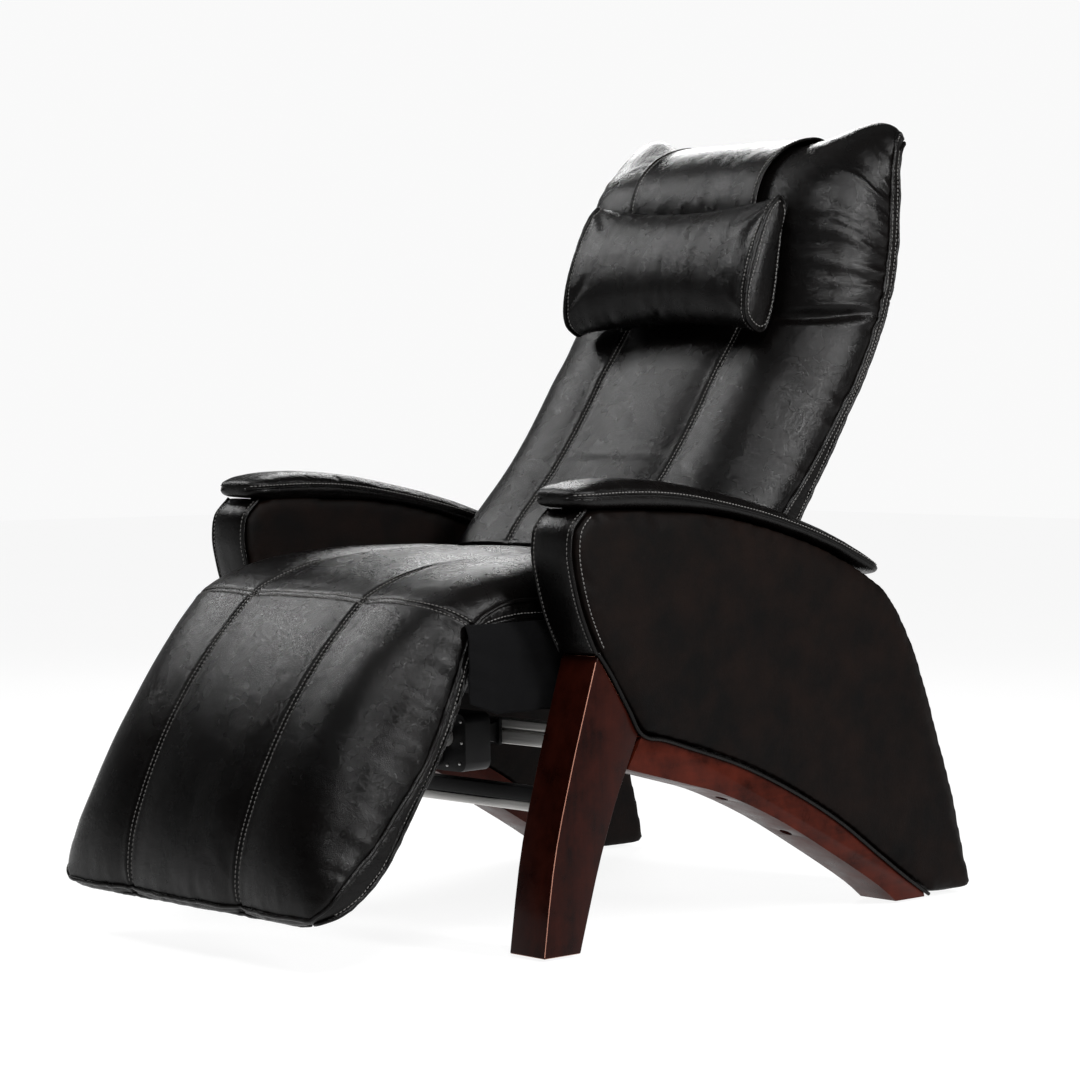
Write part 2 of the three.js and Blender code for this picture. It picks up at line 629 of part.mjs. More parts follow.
// A flat bar between two pivots, with a closed eye at the first and a looser one at the second.
function link(from, to, plane, eyeR) {
  const start = new THREE.Vector2(...from);
  const along = new THREE.Vector2(...to).sub(start);
  const tilt = along.angle();
  const end = start.clone().add(along);
  const shape = new THREE.Shape();
  shape.absarc(start.x, start.y, 11, tilt + Math.PI / 2, tilt + 1.5 * Math.PI, false);
  shape.absarc(end.x, end.y, eyeR, tilt - Math.PI / 2, tilt + Math.PI / 2, false);
  const closed = LINK_PIN_R + RUNNING_CLEARANCE;
  const open = LINK_PIN_R + OPEN_EYE_CLEARANCE;
  return slab(shape, plane.inner, plane.outer, [[start.x, start.y, closed], [end.x, end.y, open]]);
}

// A point of a leaning frame in the chair's own (Y, Z).
function inChair([y, z], origin, lean) {
  const a = -degrees(lean);
  return [origin[0] + y * Math.cos(a) - z * Math.sin(a), origin[1] + y * Math.sin(a) + z * Math.cos(a)];
}

const legLugInChair = inChair(LEG_LUG, KNEE, LEG_LEAN);
const backLugInChair = inChair(BACK_LUG, BACK_HINGE, BACK_LEAN);
addPair(chair, 'leg_link', link(LEG_LINK_GROUND, legLugInChair, LEG_LINK, 13), blackSteel);
addPair(chair, 'back_link', link(BACK_LINK_GROUND, backLugInChair, BACK_LINK, 13), blackSteel);

// ---------------------------------------------------------------- actuator
// In its own frame the actuator's pivot is the origin and the rod runs out along -Y.

const rodEyeInChair = inChair(ROD_EYE, KNEE, LEG_LEAN);
const reach = new THREE.Vector2(...rodEyeInChair).sub(new THREE.Vector2(...ACTUATOR_PIVOT));
const ROD_LENGTH = reach.length();
const actuator = new THREE.Group();
actuator.position.set(0, ...ACTUATOR_PIVOT);
actuator.rotation.x = reach.angle() - Math.PI;
chair.add(actuator);

const GEARBOX = { left: 40, right: -45, rear: -16, front: -64, bottom: -50, top: 33, round: 14 };
const TUBE = { r: 15, bore: 9.6, end: -208 };
const ROD = { r: 9, start: -68, eyeR: 12, eyeHalf: 10 };
const MOTOR = { r: 19, centre: [-24, -27], end: -132 };

// A round bar along Y, centred on (x, z).
function barY(y0, y1, [x, z], r, sides = 20) {
  return new THREE.CylinderGeometry(r, r, y1 - y0, sides).translate(x, (y0 + y1) / 2, z);
}

function gearbox() {
  const { left, right, rear, front, bottom, top, round } = GEARBOX;
  const face = new THREE.Shape();
  face.absarc(left - round, top - round, round, 0, Math.PI / 2, false);
  face.absarc(right + round, top - round, round, Math.PI / 2, Math.PI, false);
  face.absarc(right + 2 * round, bottom + 2 * round, 2 * round, Math.PI, 1.5 * Math.PI, false);
  face.absarc(left - round, bottom + round, round, -Math.PI / 2, 0, false);
  const body = new THREE.ExtrudeGeometry(face, { depth: rear - front, bevelEnabled: false, curveSegments: 5 })
    .rotateX(Math.PI / 2)
    .translate(0, rear, 0);
  const lug = new THREE.Shape();
  lug.moveTo(rear - 2, -10);
  lug.absarc(0, 0, 10, -Math.PI / 2, Math.PI / 2, false);
  lug.lineTo(rear - 2, 10);
  const half = ACTUATOR_EAR.inner - 1.5;
  const eye = slab(lug, -half, half, [[0, 0, LINK_PIN_R + RUNNING_CLEARANCE]]);
  return fuse(body, eye);
}

function actuatorTube() {
  const start = GEARBOX.front - GAP;
  return cut(barY(TUBE.end, start, [0, 0], TUBE.r), barY(TUBE.end - 1, start - 3, [0, 0], TUBE.bore));
}

function actuatorRod() {
  const body = barY(-ROD_LENGTH + ROD.eyeR - 2, ROD.start, [0, 0], ROD.r);
  const eye = barX(-ROD.eyeHalf, ROD.eyeHalf, [-ROD_LENGTH, 0], ROD.eyeR);
  const hole = barX(-ROD.eyeHalf - 1, ROD.eyeHalf + 1, [-ROD_LENGTH, 0], LINK_PIN_R + OPEN_EYE_CLEARANCE);
  return cut(fuse(body, eye), hole);
}

add(actuator, 'actuator_gearbox', gearbox(), blackPlastic);
add(actuator, 'actuator_motor', barY(MOTOR.end, GEARBOX.front - GAP, MOTOR.centre, MOTOR.r), blackSteel);
add(actuator, 'actuator_tube', actuatorTube(), aluminium);
add(actuator, 'actuator_rod', actuatorRod(), zincSteel);

export default chair;
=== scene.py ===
"""Looks of the zero gravity recliner: upholstery, stitching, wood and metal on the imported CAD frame.

Metres, in the CAD frame: +Z up, the sitter faces -Y, +X is the sitter's left. Lines are written in millimetres."""
import json
import math

import bmesh
import bpy
import numpy as np
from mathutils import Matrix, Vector

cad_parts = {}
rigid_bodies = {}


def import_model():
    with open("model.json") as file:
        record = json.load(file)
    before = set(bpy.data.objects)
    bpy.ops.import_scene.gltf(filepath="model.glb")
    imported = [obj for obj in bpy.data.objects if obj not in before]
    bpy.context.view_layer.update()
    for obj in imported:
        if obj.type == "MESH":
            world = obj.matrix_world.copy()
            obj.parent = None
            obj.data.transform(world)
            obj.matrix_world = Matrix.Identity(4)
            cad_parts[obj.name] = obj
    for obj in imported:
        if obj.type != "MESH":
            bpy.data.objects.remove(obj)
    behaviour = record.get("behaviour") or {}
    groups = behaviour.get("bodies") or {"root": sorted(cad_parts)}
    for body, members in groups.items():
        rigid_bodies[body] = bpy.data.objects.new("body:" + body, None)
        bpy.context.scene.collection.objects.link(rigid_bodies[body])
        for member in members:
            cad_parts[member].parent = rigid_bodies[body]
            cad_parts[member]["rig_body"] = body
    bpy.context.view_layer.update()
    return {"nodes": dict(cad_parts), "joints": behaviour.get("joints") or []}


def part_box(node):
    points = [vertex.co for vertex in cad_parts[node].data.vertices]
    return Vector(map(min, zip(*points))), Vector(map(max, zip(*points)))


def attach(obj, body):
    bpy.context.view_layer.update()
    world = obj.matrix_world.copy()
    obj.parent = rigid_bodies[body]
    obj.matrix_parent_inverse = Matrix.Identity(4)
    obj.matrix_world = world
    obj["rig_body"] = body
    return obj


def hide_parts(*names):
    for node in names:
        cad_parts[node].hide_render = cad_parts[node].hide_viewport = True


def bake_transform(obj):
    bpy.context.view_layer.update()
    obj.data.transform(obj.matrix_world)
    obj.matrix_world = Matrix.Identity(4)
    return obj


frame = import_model()
scene = bpy.context.scene

MM = 0.001
TINY = 1e-9
PIVOT = {j["name"]: np.array(j["pos_m"][1:]) for j in frame["joints"] if "pos_m" in j}
KNEE = PIVOT["leg_rest_lift"]
BACK_HINGE = PIVOT["back_recline"]
SHIFT = PIVOT["recline"][0] - 0.060  # the CAD moves the whole chair along Y by this much
LEG_LEAN = math.radians(33)
BACK_LEAN = math.radians(30.4)


# ---------------------------------------------------------------- camera and light

def placed(name, data):
    """A new object in the scene."""
    made = bpy.data.objects.new(name, data)
    scene.collection.objects.link(made)
    return made


def make_camera():
    data = bpy.data.cameras.new("camera")
    data.sensor_width, data.lens = 36, 104.27
    camera = placed("camera", data)
    camera.location = (3.308, -3.110 + SHIFT, 0.720)
    camera.rotation_euler = (math.radians(90 - 2.36), 0, math.radians(46.29))
    data.clip_end = 60
    scene.camera = camera


def make_light(name, place, target, size, power):
    data = bpy.data.lights.new(name, "AREA")
    data.shape, data.size, data.size_y = "RECTANGLE", *size
    data.energy = power
    light = placed(name, data)
    light.location = place
    light.rotation_euler = (Vector(target) - Vector(place)).to_track_quat("-Z", "Y").to_euler()


make_camera()
make_light("key_softbox", (-2.8, -0.5, 2.8), (0, -0.5, 0.5), (1.1, 0.8), 58)
make_light("top_softbox", (-1.6, 0.2, 3.2), (0, 0, 0.6), (0.8, 0.8), 5)
make_light("front_softbox", (0.0, -2.1, 3.4), (0, -0.3, 0.5), (0.9, 0.5), 12)
make_light("right_front_strip", (2.0, -1.5, 3.2), (0.2, 0.1, 0.8), (1.1, 0.6), 105)
make_light("right_strip", (3.1, 0.6, 2.0), (0.3, 0.1, 0.6), (0.4, 1.6), 150)
make_light("left_rear_softbox", (-2.6, 2.6, 2.4), (0, -0.2, 0.5), (1.4, 0.7), 36)
scene.view_settings.view_transform = "Standard"


# ---------------------------------------------------------------- materials

def set_stops(ramp, stops):
    elements = ramp.color_ramp.elements
    while len(elements) < len(stops):
        elements.new(0.5)
    for element, (at, color) in zip(elements, stops):
        element.position = at
        element.color = (*color, 1) if hasattr(color, "__len__") else (color, color, color, 1)


class Nodes:
    """A material's node tree, with short calls for the nodes used here."""

    def __init__(self, name):
        self.material = bpy.data.materials.new(name)
        self.material.use_nodes = True
        self.tree = self.material.node_tree
        self.shader = self.tree.nodes["Principled BSDF"]
        self.place = self.tree.nodes.new("ShaderNodeTexCoord").outputs["Object"]

    def link(self, source, target):
        self.tree.links.new(source, target)

    def fill(self, sockets, values):
        """Links the values that are sockets and sets the others."""
        for key, value in values.items():
            if isinstance(value, bpy.types.NodeSocket):
                self.link(value, sockets[key])
            else:
                sockets[key].default_value = value

    def node(self, kind, **values):
        made = self.tree.nodes.new(kind)
        self.fill(made.inputs, values)
        return made

    def stretched(self, scale, along, scale_along):
        """Object coordinates, scaled differently along one axis."""
        scales = [scale] * 3
        if along:
            scales["XYZ".index(along)] = scale_along
        return self.node("ShaderNodeMapping", Vector=self.place, Scale=scales).outputs["Vector"]

    def noise(self, scale, detail=3.0, roughness=0.55, vector=None):
        values = {"Scale": scale, "Detail": detail, "Roughness": roughness, "Vector": vector or self.place}
        return self.node("ShaderNodeTexNoise", **values).outputs["Fac"]

    def cells(self, scale):
        made = self.node("ShaderNodeTexVoronoi", Scale=scale, Vector=self.place)
        made.feature = "DISTANCE_TO_EDGE"
        return made.outputs["Distance"]

    def ramp(self, source, stops):
        made = self.tree.nodes.new("ShaderNodeValToRGB")
        set_stops(made, stops)
        self.link(source, made.inputs["Fac"])
        return made.outputs["Color"]

    def maths(self, operation, *values):
        made = self.node("ShaderNodeMath")
        made.operation = operation
        self.fill(made.inputs, dict(enumerate(values)))
        return made.outputs["Value"]

    def bump(self, height, distance, strength=1.0, normal=None):
        made = self.node("ShaderNodeBump", Height=height, Distance=distance, Strength=strength)
        if normal is not None:
            self.link(normal, made.inputs["Normal"])
        return made.outputs["Normal"]

    def set(self, **values):
        self.fill(self.shader.inputs, {key.replace("_", " "): value for key, value in values.items()})
        return self.material


def leather(name, dark, light, rough, grain=520.0, mottle=9.0, crease=0.9, shine=0.15):
    """Leather with soft dents, lumps, a pebbled grain and pores. rough is the mean roughness."""
    n = Nodes(name)
    color = n.ramp(n.noise(mottle, 4.0, 0.6), [(0.35, dark), (0.72, light)])
    pebble = n.ramp(n.cells(grain), [(0.0, 0.0), (0.30, 1.0)])
    pores = n.noise(grain * 2.1, 2.0)
    lumps = n.noise(grain * 0.42, 2.0, 0.5)
    dents = n.noise(34.0, 3.0, 0.5)
    normal = n.bump(dents, 0.0010, crease)
    normal = n.bump(lumps, 0.0005, 0.30, normal)
    normal = n.bump(pebble, 0.00024, 0.55, normal)
    normal = n.bump(pores, 0.00012, 0.35, normal)
    uneven = n.maths("MULTIPLY_ADD", n.noise(21.0, 3.0), 0.16, rough - 0.08)
    return n.set(Base_Color=color, Roughness=uneven, Normal=normal, IOR=1.46, Specular_IOR_Level=shine)


def wood(name, dark, light, along):
    n = Nodes(name)
    streaks = n.noise(1.0, 6.0, 0.62, n.stretched(38.0, along, 3.0))
    blotches = n.noise(26.0, 6.0, 0.62)
    total = n.maths("ADD", n.maths("MULTIPLY", streaks, 0.45), n.maths("MULTIPLY", blotches, 0.55))
    middle = [0.35 * a + 0.55 * b for a, b in zip(dark, light)]
    color = n.ramp(total, [(0.30, dark), (0.52, middle), (0.74, light)])
    pores = n.noise(1.0, 2.0, 0.5, n.stretched(900.0, along, 40.0))
    normal = n.bump(pores, 0.00012, 0.35)
    normal = n.bump(streaks, 0.0004, 0.25, normal)
    rough = n.ramp(blotches, [(0.3, 0.24), (0.7, 0.40)])
    return n.set(Base_Color=color, Roughness=rough, Normal=normal, Specular_IOR_Level=0.05, Coat_Weight=0.045,
                 Coat_Roughness=0.12)


def metal(name, color, rough, metallic, brushed=None):
    n = Nodes(name)
    lines = n.noise(1.0, 3.0, 0.6, n.stretched(260.0, brushed, 6.0))
    shade = n.ramp(lines, [(0.3, [0.82 * c for c in color]), (0.7, color)])
    normal = n.bump(n.noise(1400.0, 2.0), 0.0001, 0.3)
    scuff = n.ramp(lines, [(0.2, rough - 0.07), (0.8, rough + 0.09)])
    return n.set(Base_Color=shade, Metallic=metallic, Roughness=scuff, Normal=normal,
                 Specular_IOR_Level=0.5 if metallic else 0.25)


def cloth_fabric(name, color):
    n = Nodes(name)
    weave = n.node("ShaderNodeTexChecker", Scale=900.0, Vector=n.place)
    slubs = n.noise(420.0, 3.0, 0.6)
    shade = n.ramp(slubs, [(0.3, [0.6 * c for c in color]), (0.75, color)])
    height = n.maths("ADD", weave.outputs["Fac"], slubs)
    return n.set(Base_Color=shade, Roughness=0.92, Normal=n.bump(height, 0.0003, 0.6), Sheen_Weight=0.01,
                 Specular_IOR_Level=0.06)


def plastic(name, color, rough):
    n = Nodes(name)
    grain = n.noise(1500.0, 2.0)
    wear = n.noise(30.0, 4.0)
    shade = n.ramp(wear, [(0.3, color), (0.8, [1.7 * c for c in color])])
    rough_map = n.ramp(wear, [(0.3, rough), (0.8, rough + 0.12)])
    return n.set(Base_Color=shade, Roughness=rough_map, Normal=n.bump(grain, 0.00012, 0.5), Specular_IOR_Level=0.25)


def thread(name, color):
    n = Nodes(name)
    twist = n.noise(2600.0, 2.0)
    shade = n.ramp(twist, [(0.25, [0.5 * c for c in color]), (0.75, color)])
    return n.set(Base_Color=shade, Roughness=0.7, Normal=n.bump(twist, 0.0002, 0.6))


FINISH = {
    "black_leather": leather("black_leather", (0.0006, 0.0005, 0.0005), (0.0018, 0.0014, 0.0013), 0.27),
    "panel_leather": leather("panel_leather", (0.0010, 0.0007, 0.0006), (0.0040, 0.0019, 0.0013), 0.52,
                             grain=470.0, mottle=17.0, crease=0.35, shine=0.055),
    "cherry_wood": wood("cherry_wood", (0.0022, 0.0004, 0.0003), (0.022, 0.0033, 0.0015), "Z"),
    "cherry_wood_arch": wood("cherry_wood_arch", (0.0040, 0.0008, 0.0004), (0.052, 0.0072, 0.0030), "Y"),
    "cherry_wood_rail": wood("cherry_wood_rail", (0.0040, 0.0008, 0.0005), (0.036, 0.0060, 0.0029), "X"),
    # A painted highlight: brighter wood laid on the middle of rounded wooden edges, standing in for the light they
    # catch.
    "cherry_edge_highlight": wood("cherry_edge_highlight", (0.20, 0.085, 0.06), (0.44, 0.22, 0.16), "Z"),
    "black_steel": metal("black_steel", (0.0030, 0.0030, 0.0033), 0.40, 0.0),
    "zinc_steel": metal("zinc_steel", (0.50, 0.50, 0.49), 0.34, 1.0),
    "aluminium": metal("aluminium", (0.66, 0.65, 0.63), 0.34, 0.75, "X"),
    "black_plastic": plastic("black_plastic", (0.0030, 0.0030, 0.0033), 0.42),
    "black_fabric": cloth_fabric("black_fabric", (0.0022, 0.0022, 0.0025)),
    "seam_thread": thread("seam_thread", (0.13, 0.125, 0.12)),
}


# ---------------------------------------------------------------- small tools

def chair_point(y, z):
    return np.array([y * MM + SHIFT, z * MM])


def unit(vectors, axis=-1):
    return vectors / np.maximum(np.linalg.norm(vectors, axis=axis, keepdims=True), TINY)


def bell(values, width):
    """1 at zero, falling off smoothly on both sides."""
    return np.exp(-((values / width) ** 2))


def lengths_along(points):
    """How far along a line each of its points lies."""
    return np.concatenate([[0], np.cumsum(np.linalg.norm(np.diff(points, axis=0), axis=1))])


def leg_point(u, v):
    """u down the leg rest from the knee, v out of its front."""
    down = np.array([-math.sin(LEG_LEAN), -math.cos(LEG_LEAN)])
    front = np.array([-math.cos(LEG_LEAN), math.sin(LEG_LEAN)])
    return KNEE + MM * (u * down + v * front)


def back_point(s, n):
    """s up the back from its hinge, n out of its front."""
    up = np.array([math.sin(BACK_LEAN), math.cos(BACK_LEAN)])
    front = np.array([-math.cos(BACK_LEAN), math.sin(BACK_LEAN)])
    return BACK_HINGE + MM * (s * up + n * front)


def through(knots, step, marks=()):
    """A smooth line through rows of numbers, evenly spaced by the length of the first two. Returns the rows and
    the places of the marked knots, which it passes exactly."""
    knots = np.array(knots, float)
    gaps = np.maximum(np.linalg.norm(np.diff(knots[:, :2], axis=0), axis=1), 1e-6)
    t = np.concatenate([[0], np.cumsum(gaps)])
    slope = np.diff(knots, axis=0) / gaps[:, None]
    tangent = np.empty_like(knots)
    tangent[0], tangent[-1] = slope[0], slope[-1]
    before, after = gaps[:-1, None], gaps[1:, None]
    tangent[1:-1] = (slope[:-1] * after + slope[1:] * before) / (before + after)

    def at(values):
        k = np.clip(np.searchsorted(t, values, side="right") - 1, 0, len(t) - 2)
        h = gaps[k][:, None]
        w = ((values - t[k]) / gaps[k])[:, None]
        return ((2 * w**3 - 3 * w**2 + 1) * knots[k] + (w**3 - 2 * w**2 + w) * h * tangent[k]
                + (3 * w**2 - 2 * w**3) * knots[k + 1] + (w**3 - w**2) * h * tangent[k + 1])

    stops = [0, *marks, len(knots) - 1]
    rows, places = [], []
    for a, b in zip(stops, stops[1:]):
        fine = np.linspace(t[a], t[b], 400)
        lengths = lengths_along(at(fine)[:, :2])
        count = max(1, round(lengths[-1] / step))
        even = np.interp(np.linspace(0, lengths[-1], count + 1), lengths, fine)
        rows.append(at(even)[:-1])
        places.append(sum(map(len, rows)))
    rows.append(knots[-1:])
    return np.concatenate(rows), places[:-1]


def drift(values, seed, octaves=2):
    """Smooth seeded noise along one number, about -1 to 1."""
    values = np.asarray(values, float)
    total = np.zeros_like(values)
    for octave in range(octaves):
        table = np.random.RandomState(seed * 31 + octave).uniform(-1, 1, 4096)
        v = values * 2**octave + 1000
        k = np.floor(v).astype(int)
        w = v - k
        w = w * w * (3 - 2 * w)
        total += (table[k % 4096] * (1 - w) + table[(k + 1) % 4096] * w) / 2**octave
    return total / 1.5


def drift2(u, v, seed, octaves=2):
    """Smooth seeded noise over two numbers, about -1 to 1."""
    u, v = np.broadcast_arrays(np.asarray(u, float), np.asarray(v, float))
    total = np.zeros(u.shape)
    for octave in range(octaves):
        table = np.random.RandomState(seed * 77 + octave).uniform(-1, 1, (256, 256))
        a, b = u * 2**octave + 500, v * 2**octave + 500
        i, j = np.floor(a).astype(int), np.floor(b).astype(int)
        s, t = a - i, b - j
        s, t = s * s * (3 - 2 * s), t * t * (3 - 2 * t)

        def pick(di, dj):
            return table[(i + di) % 256, (j + dj) % 256]

        total += ((pick(0, 0) * (1 - s) + pick(1, 0) * s) * (1 - t)
                  + (pick(0, 1) * (1 - s) + pick(1, 1) * s) * t) / 2**octave
    return total / 1.5


def edit_mesh(mesh, edit):
    """Runs edit(bmesh) on a mesh."""
    work = bmesh.new()
    work.from_mesh(mesh)
    edit(work)
    work.to_mesh(mesh)
    work.free()


def shade_smooth(mesh):
    mesh.polygons.foreach_set("use_smooth", [True] * len(mesh.polygons))


def new_object(name, vertices, faces, finish):
    mesh = bpy.data.meshes.new(name)
    mesh.from_pydata([tuple(v) for v in vertices], [], [tuple(int(k) for k in f) for f in faces])
    mesh.materials.append(FINISH[finish])
    made = placed(name, mesh)
    edit_mesh(mesh, lambda work: bmesh.ops.recalc_face_normals(work, faces=work.faces))
    shade_smooth(mesh)
    mesh.update()
    return made


def settle(piece, body, replaces=()):
    """The piece rides on a body and stands for CAD nodes."""
    if replaces:
        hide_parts(*replaces)
    if isinstance(body, tuple):
        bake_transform(piece)
    else:
        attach(piece, body)
    return piece


def grid_faces(rows, columns):
    """The faces of a grid of rings."""
    faces = []
    for i in range(rows - 1):
        for j in range(columns):
            k = (j + 1) % columns
            faces.append((i * columns + j, i * columns + k, (i + 1) * columns + k, (i + 1) * columns + j))
    return faces


def fan(ring):
    """Triangles over a ring of vertex numbers, zipped from both of its ends."""
    a, b, faces = 0, len(ring) - 1, []
    while b - a > 1:
        if (b - a) % 2:
            faces.append((ring[a], ring[a + 1], ring[b]))
            a += 1
        else:
            faces.append((ring[a], ring[b - 1], ring[b]))
            b -= 1
    return faces


def closed_grid(name, grid, finish):
    """A closed skin over a grid of rings, with its two end rings filled."""
    rows, columns = grid.shape[:2]
    faces = grid_faces(rows, columns) + fan(list(range(columns)))
    faces += fan([(rows - 1) * columns + j for j in range(columns)][::-1])
    return new_object(name, grid.reshape(-1, 3), faces, finish)


def outward(grid, core):
    """Unit normals of a grid of rings, pointing away from its core."""
    across = np.roll(grid, -1, 1) - np.roll(grid, 1, 1)
    normals = np.cross(across, np.gradient(grid, axis=0))
    normals = normals / np.maximum(np.linalg.norm(normals, axis=2, keepdims=True), 1e-12)
    return normals if np.sum(normals * (grid - core)) > 0 else -normals


def ring_normals(grid):
    return outward(grid, grid.mean(axis=1, keepdims=True))


def refined(grid):
    """Twice as many rows and columns, on cubic curves through the old ones."""
    def midpoints(g, axis, cyclic):
        g = np.moveaxis(g, axis, 0)
        if cyclic:
            before, here, after, beyond = np.roll(g, 1, 0), g, np.roll(g, -1, 0), np.roll(g, -2, 0)
        else:
            padded = np.concatenate([2 * g[:1] - g[1:2], g, 2 * g[-1:] - g[-2:-1]])
            before, here, after, beyond = padded[:-3], padded[1:-2], padded[2:-1], padded[3:]
        middle = (9 * (here + after) - before - beyond) / 16
        out = np.empty((g.shape[0] + middle.shape[0], *g.shape[1:]))
        out[0::2], out[1::2] = g, middle
        return np.moveaxis(out, 0, axis)
    return midpoints(midpoints(grid, 0, False), 1, True)


def mesh_points(mesh):
    points = np.empty(len(mesh.vertices) * 3)
    mesh.vertices.foreach_get("co", points)
    return points.reshape(-1, 3)


def blown_up(piece, rest, pinned, pressure, cap, surplus, frames, **settings):
    """Where a piece's points go as cloth under inner pressure. Pinned points stay; the rest moves by at most cap."""
    group = piece.vertex_groups.new(name="pin")
    for weight in np.unique(pinned):
        if weight > 0:
            group.add([int(k) for k in np.flatnonzero(pinned.ravel() == weight)], float(weight), "REPLACE")
    cloth = piece.modifiers.new("cloth", "CLOTH")
    options = cloth.settings
    for key, value in settings.items():
        setattr(options, key, value)
    options.mass = 0.25
    options.tension_stiffness = options.compression_stiffness = 12
    options.shrink_min = -surplus
    options.use_pressure, options.uniform_pressure_force = True, pressure
    options.vertex_group_mass = "pin"
    options.effector_weights.gravity = 0
    cloth.collision_settings.use_collision = False
    cloth.point_cache.frame_start, cloth.point_cache.frame_end = 1, frames
    for f in range(1, frames + 1):
        scene.frame_set(f)
    graph = bpy.context.evaluated_depsgraph_get()
    moved = mesh_points(piece.evaluated_get(graph).to_mesh())
    piece.evaluated_get(graph).to_mesh_clear()
    piece.modifiers.clear()
    piece.vertex_groups.clear()
    scene.frame_set(1)
    shift = moved.reshape(rest.shape) - rest
    far = np.maximum(np.linalg.norm(shift, axis=-1, keepdims=True), TINY)
    return rest + shift / far * cap * np.tanh(far / cap)


def inflated(name, grid, pinned, pressure, cap, surplus=0.0):
    """The grid's closed skin, blown up, as a grid."""
    work = closed_grid(name + "_sim", grid, "black_leather")
    grown = blown_up(work, grid, pinned, pressure, cap, surplus, 20, quality=5, shear_stiffness=6.0,
                     bending_stiffness=4.0)
    bpy.data.objects.remove(work, do_unlink=True)
    return grown


def even_line(points, step, normals=None):
    """The line with evenly spaced points, and its normals if it has any."""
    lengths = lengths_along(points)
    count = max(2, int(lengths[-1] / step) + 1)
    places = np.linspace(0, lengths[-1], count)
    spaced = [np.stack([np.interp(places, lengths, values[:, k]) for k in range(3)], 1)
              for values in (points, normals) if values is not None]
    return spaced[0] if normals is None else (spaced[0], unit(spaced[1]))


def tube_mesh(points, radius, sides=8, closed=False, guide=None):
    """Vertices and faces of a tube along a line. guide gives a direction that its sections keep to."""
    points = np.asarray(points, float)
    if closed:
        ahead = np.roll(points, -1, 0) - np.roll(points, 1, 0)
    else:
        ahead = np.gradient(points, axis=0)
    ahead = unit(ahead)
    side = np.tile(np.array([0.05, 0.31, 0.95]), (len(points), 1)) if guide is None else np.asarray(guide, float)
    first = unit(np.cross(ahead, side))
    second = np.cross(ahead, first)
    radius = np.broadcast_to(np.asarray(radius, float), (len(points),))[:, None, None]
    angle = np.linspace(0, 2 * np.pi, sides, endpoint=False)
    grid = points[:, None] + radius * (first[:, None] * np.cos(angle)[None, :, None]
                                       + second[:, None] * np.sin(angle)[None, :, None])
    rows = len(points)
    faces = grid_faces(rows, sides)
    if closed:
        last = (rows - 1) * sides
        faces += [(last + j, last + (j + 1) % sides, (j + 1) % sides, j) for j in range(sides)]
    else:
        faces += [tuple(range(sides))[::-1], tuple(range((rows - 1) * sides, rows * sides))]
    return grid.reshape(-1, 3), faces


def joined(name, parts, finish):
    vertices, faces, count = [], [], 0
    for v, f in parts:
        vertices.append(v)
        faces += [tuple(k + count for k in face) for face in f]
        count += len(v)
    return new_object(name, np.concatenate(vertices), faces, finish)


def pipe_parts(lines, radius):
    return [tube_mesh(even_line(line, 5 * MM), radius) for line in lines]


def add_trim(name, body, pipes, stitches):
    """The piping and the stitches of a leather piece."""
    settle(joined(f"{name}_piping", pipes, "black_leather"), body)
    settle(joined(f"{name}_stitching", stitches, "seam_thread"), body)


STITCH = {"length": 4.1 * MM, "gap": 2.1 * MM, "radius": 0.80 * MM}
STITCH_CELLS = 6  # steps of a seam line per stitch and gap; the thread takes four of them


def stitch_parts(points, normals):
    """Short threads along a line, each dipping into the leather at both ends."""
    fine, up = even_line(points, (STITCH["length"] + STITCH["gap"]) / STITCH_CELLS, normals)
    thick = np.array([0.7, 1, 0.7]) * STITCH["radius"]
    parts = []
    for k in range(0, len(fine) - STITCH_CELLS, STITCH_CELLS):
        line, out = fine[k:k + 5:2], up[k:k + 5:2]
        lift = np.array([-0.25, 0.75, -0.25])[:, None] * STITCH["radius"] * out
        parts.append(tube_mesh(line + lift, thick, 5, guide=out))
    return parts


def offset_line(grid, normals, rows, column, offset, around=True):
    """A line on a grid beside a column, offset along the surface by a distance that may be negative."""
    points, ups = [], []
    side = 1 if offset > 0 else -1
    for i in rows:
        j, left = column, abs(offset)
        while True:
            k = (j + side) % grid.shape[1] if around else min(max(j + side, 0), grid.shape[1] - 1)
            step = np.linalg.norm(grid[i, k] - grid[i, j])
            if step >= left or k == j:
                w = min(1.0, left / max(step, TINY))
                points.append(grid[i, j] * (1 - w) + grid[i, k] * w)
                ups.append(normals[i, j] * (1 - w) + normals[i, k] * w)
                break
            left -= step
            j = k
    return np.array(points), np.array(ups)


def offset_row(grid, normals, row, columns, offset):
    """As offset_line, beside a row."""
    return offset_line(grid.transpose(1, 0, 2), normals.transpose(1, 0, 2), columns, row, offset, around=False)


# ---------------------------------------------------------------- upholstered pads: seat and leg rest, back and head

SEAM_X = 117 * MM
CENTRE_CELLS, SIDE_CELLS, BOXING_CELLS = 36, 32, 4
FRONT = CENTRE_CELLS + 2 * SIDE_CELLS + 1  # columns of the front face; the first and last are the side seams
BASE_X = (0.72, 0.36, 0.0, -0.36, -0.72)
SEAMS = (SIDE_CELLS, SIDE_CELLS + CENTRE_CELLS)
FINE_SEAMS = [2 * column for column in SEAMS]  # the same in a refined grid
LEFT_SEAM, RIGHT_SEAM = 0, 2 * (FRONT - 1)  # the side seams in a refined grid
SIDE_FULLNESS = 3.7  # the side panels stay full until close to the side seam, then roll over
REAR_INSET = 34 * MM  # how far the back's underside lies inside its side seams
PANEL_CROWN = 4.5 * MM  # how far the panels rise above the seams between them
PIPE_R = 3.0 * MM
STITCH_AWAY = 4.6 * MM  # from a seam to the stitches beside it


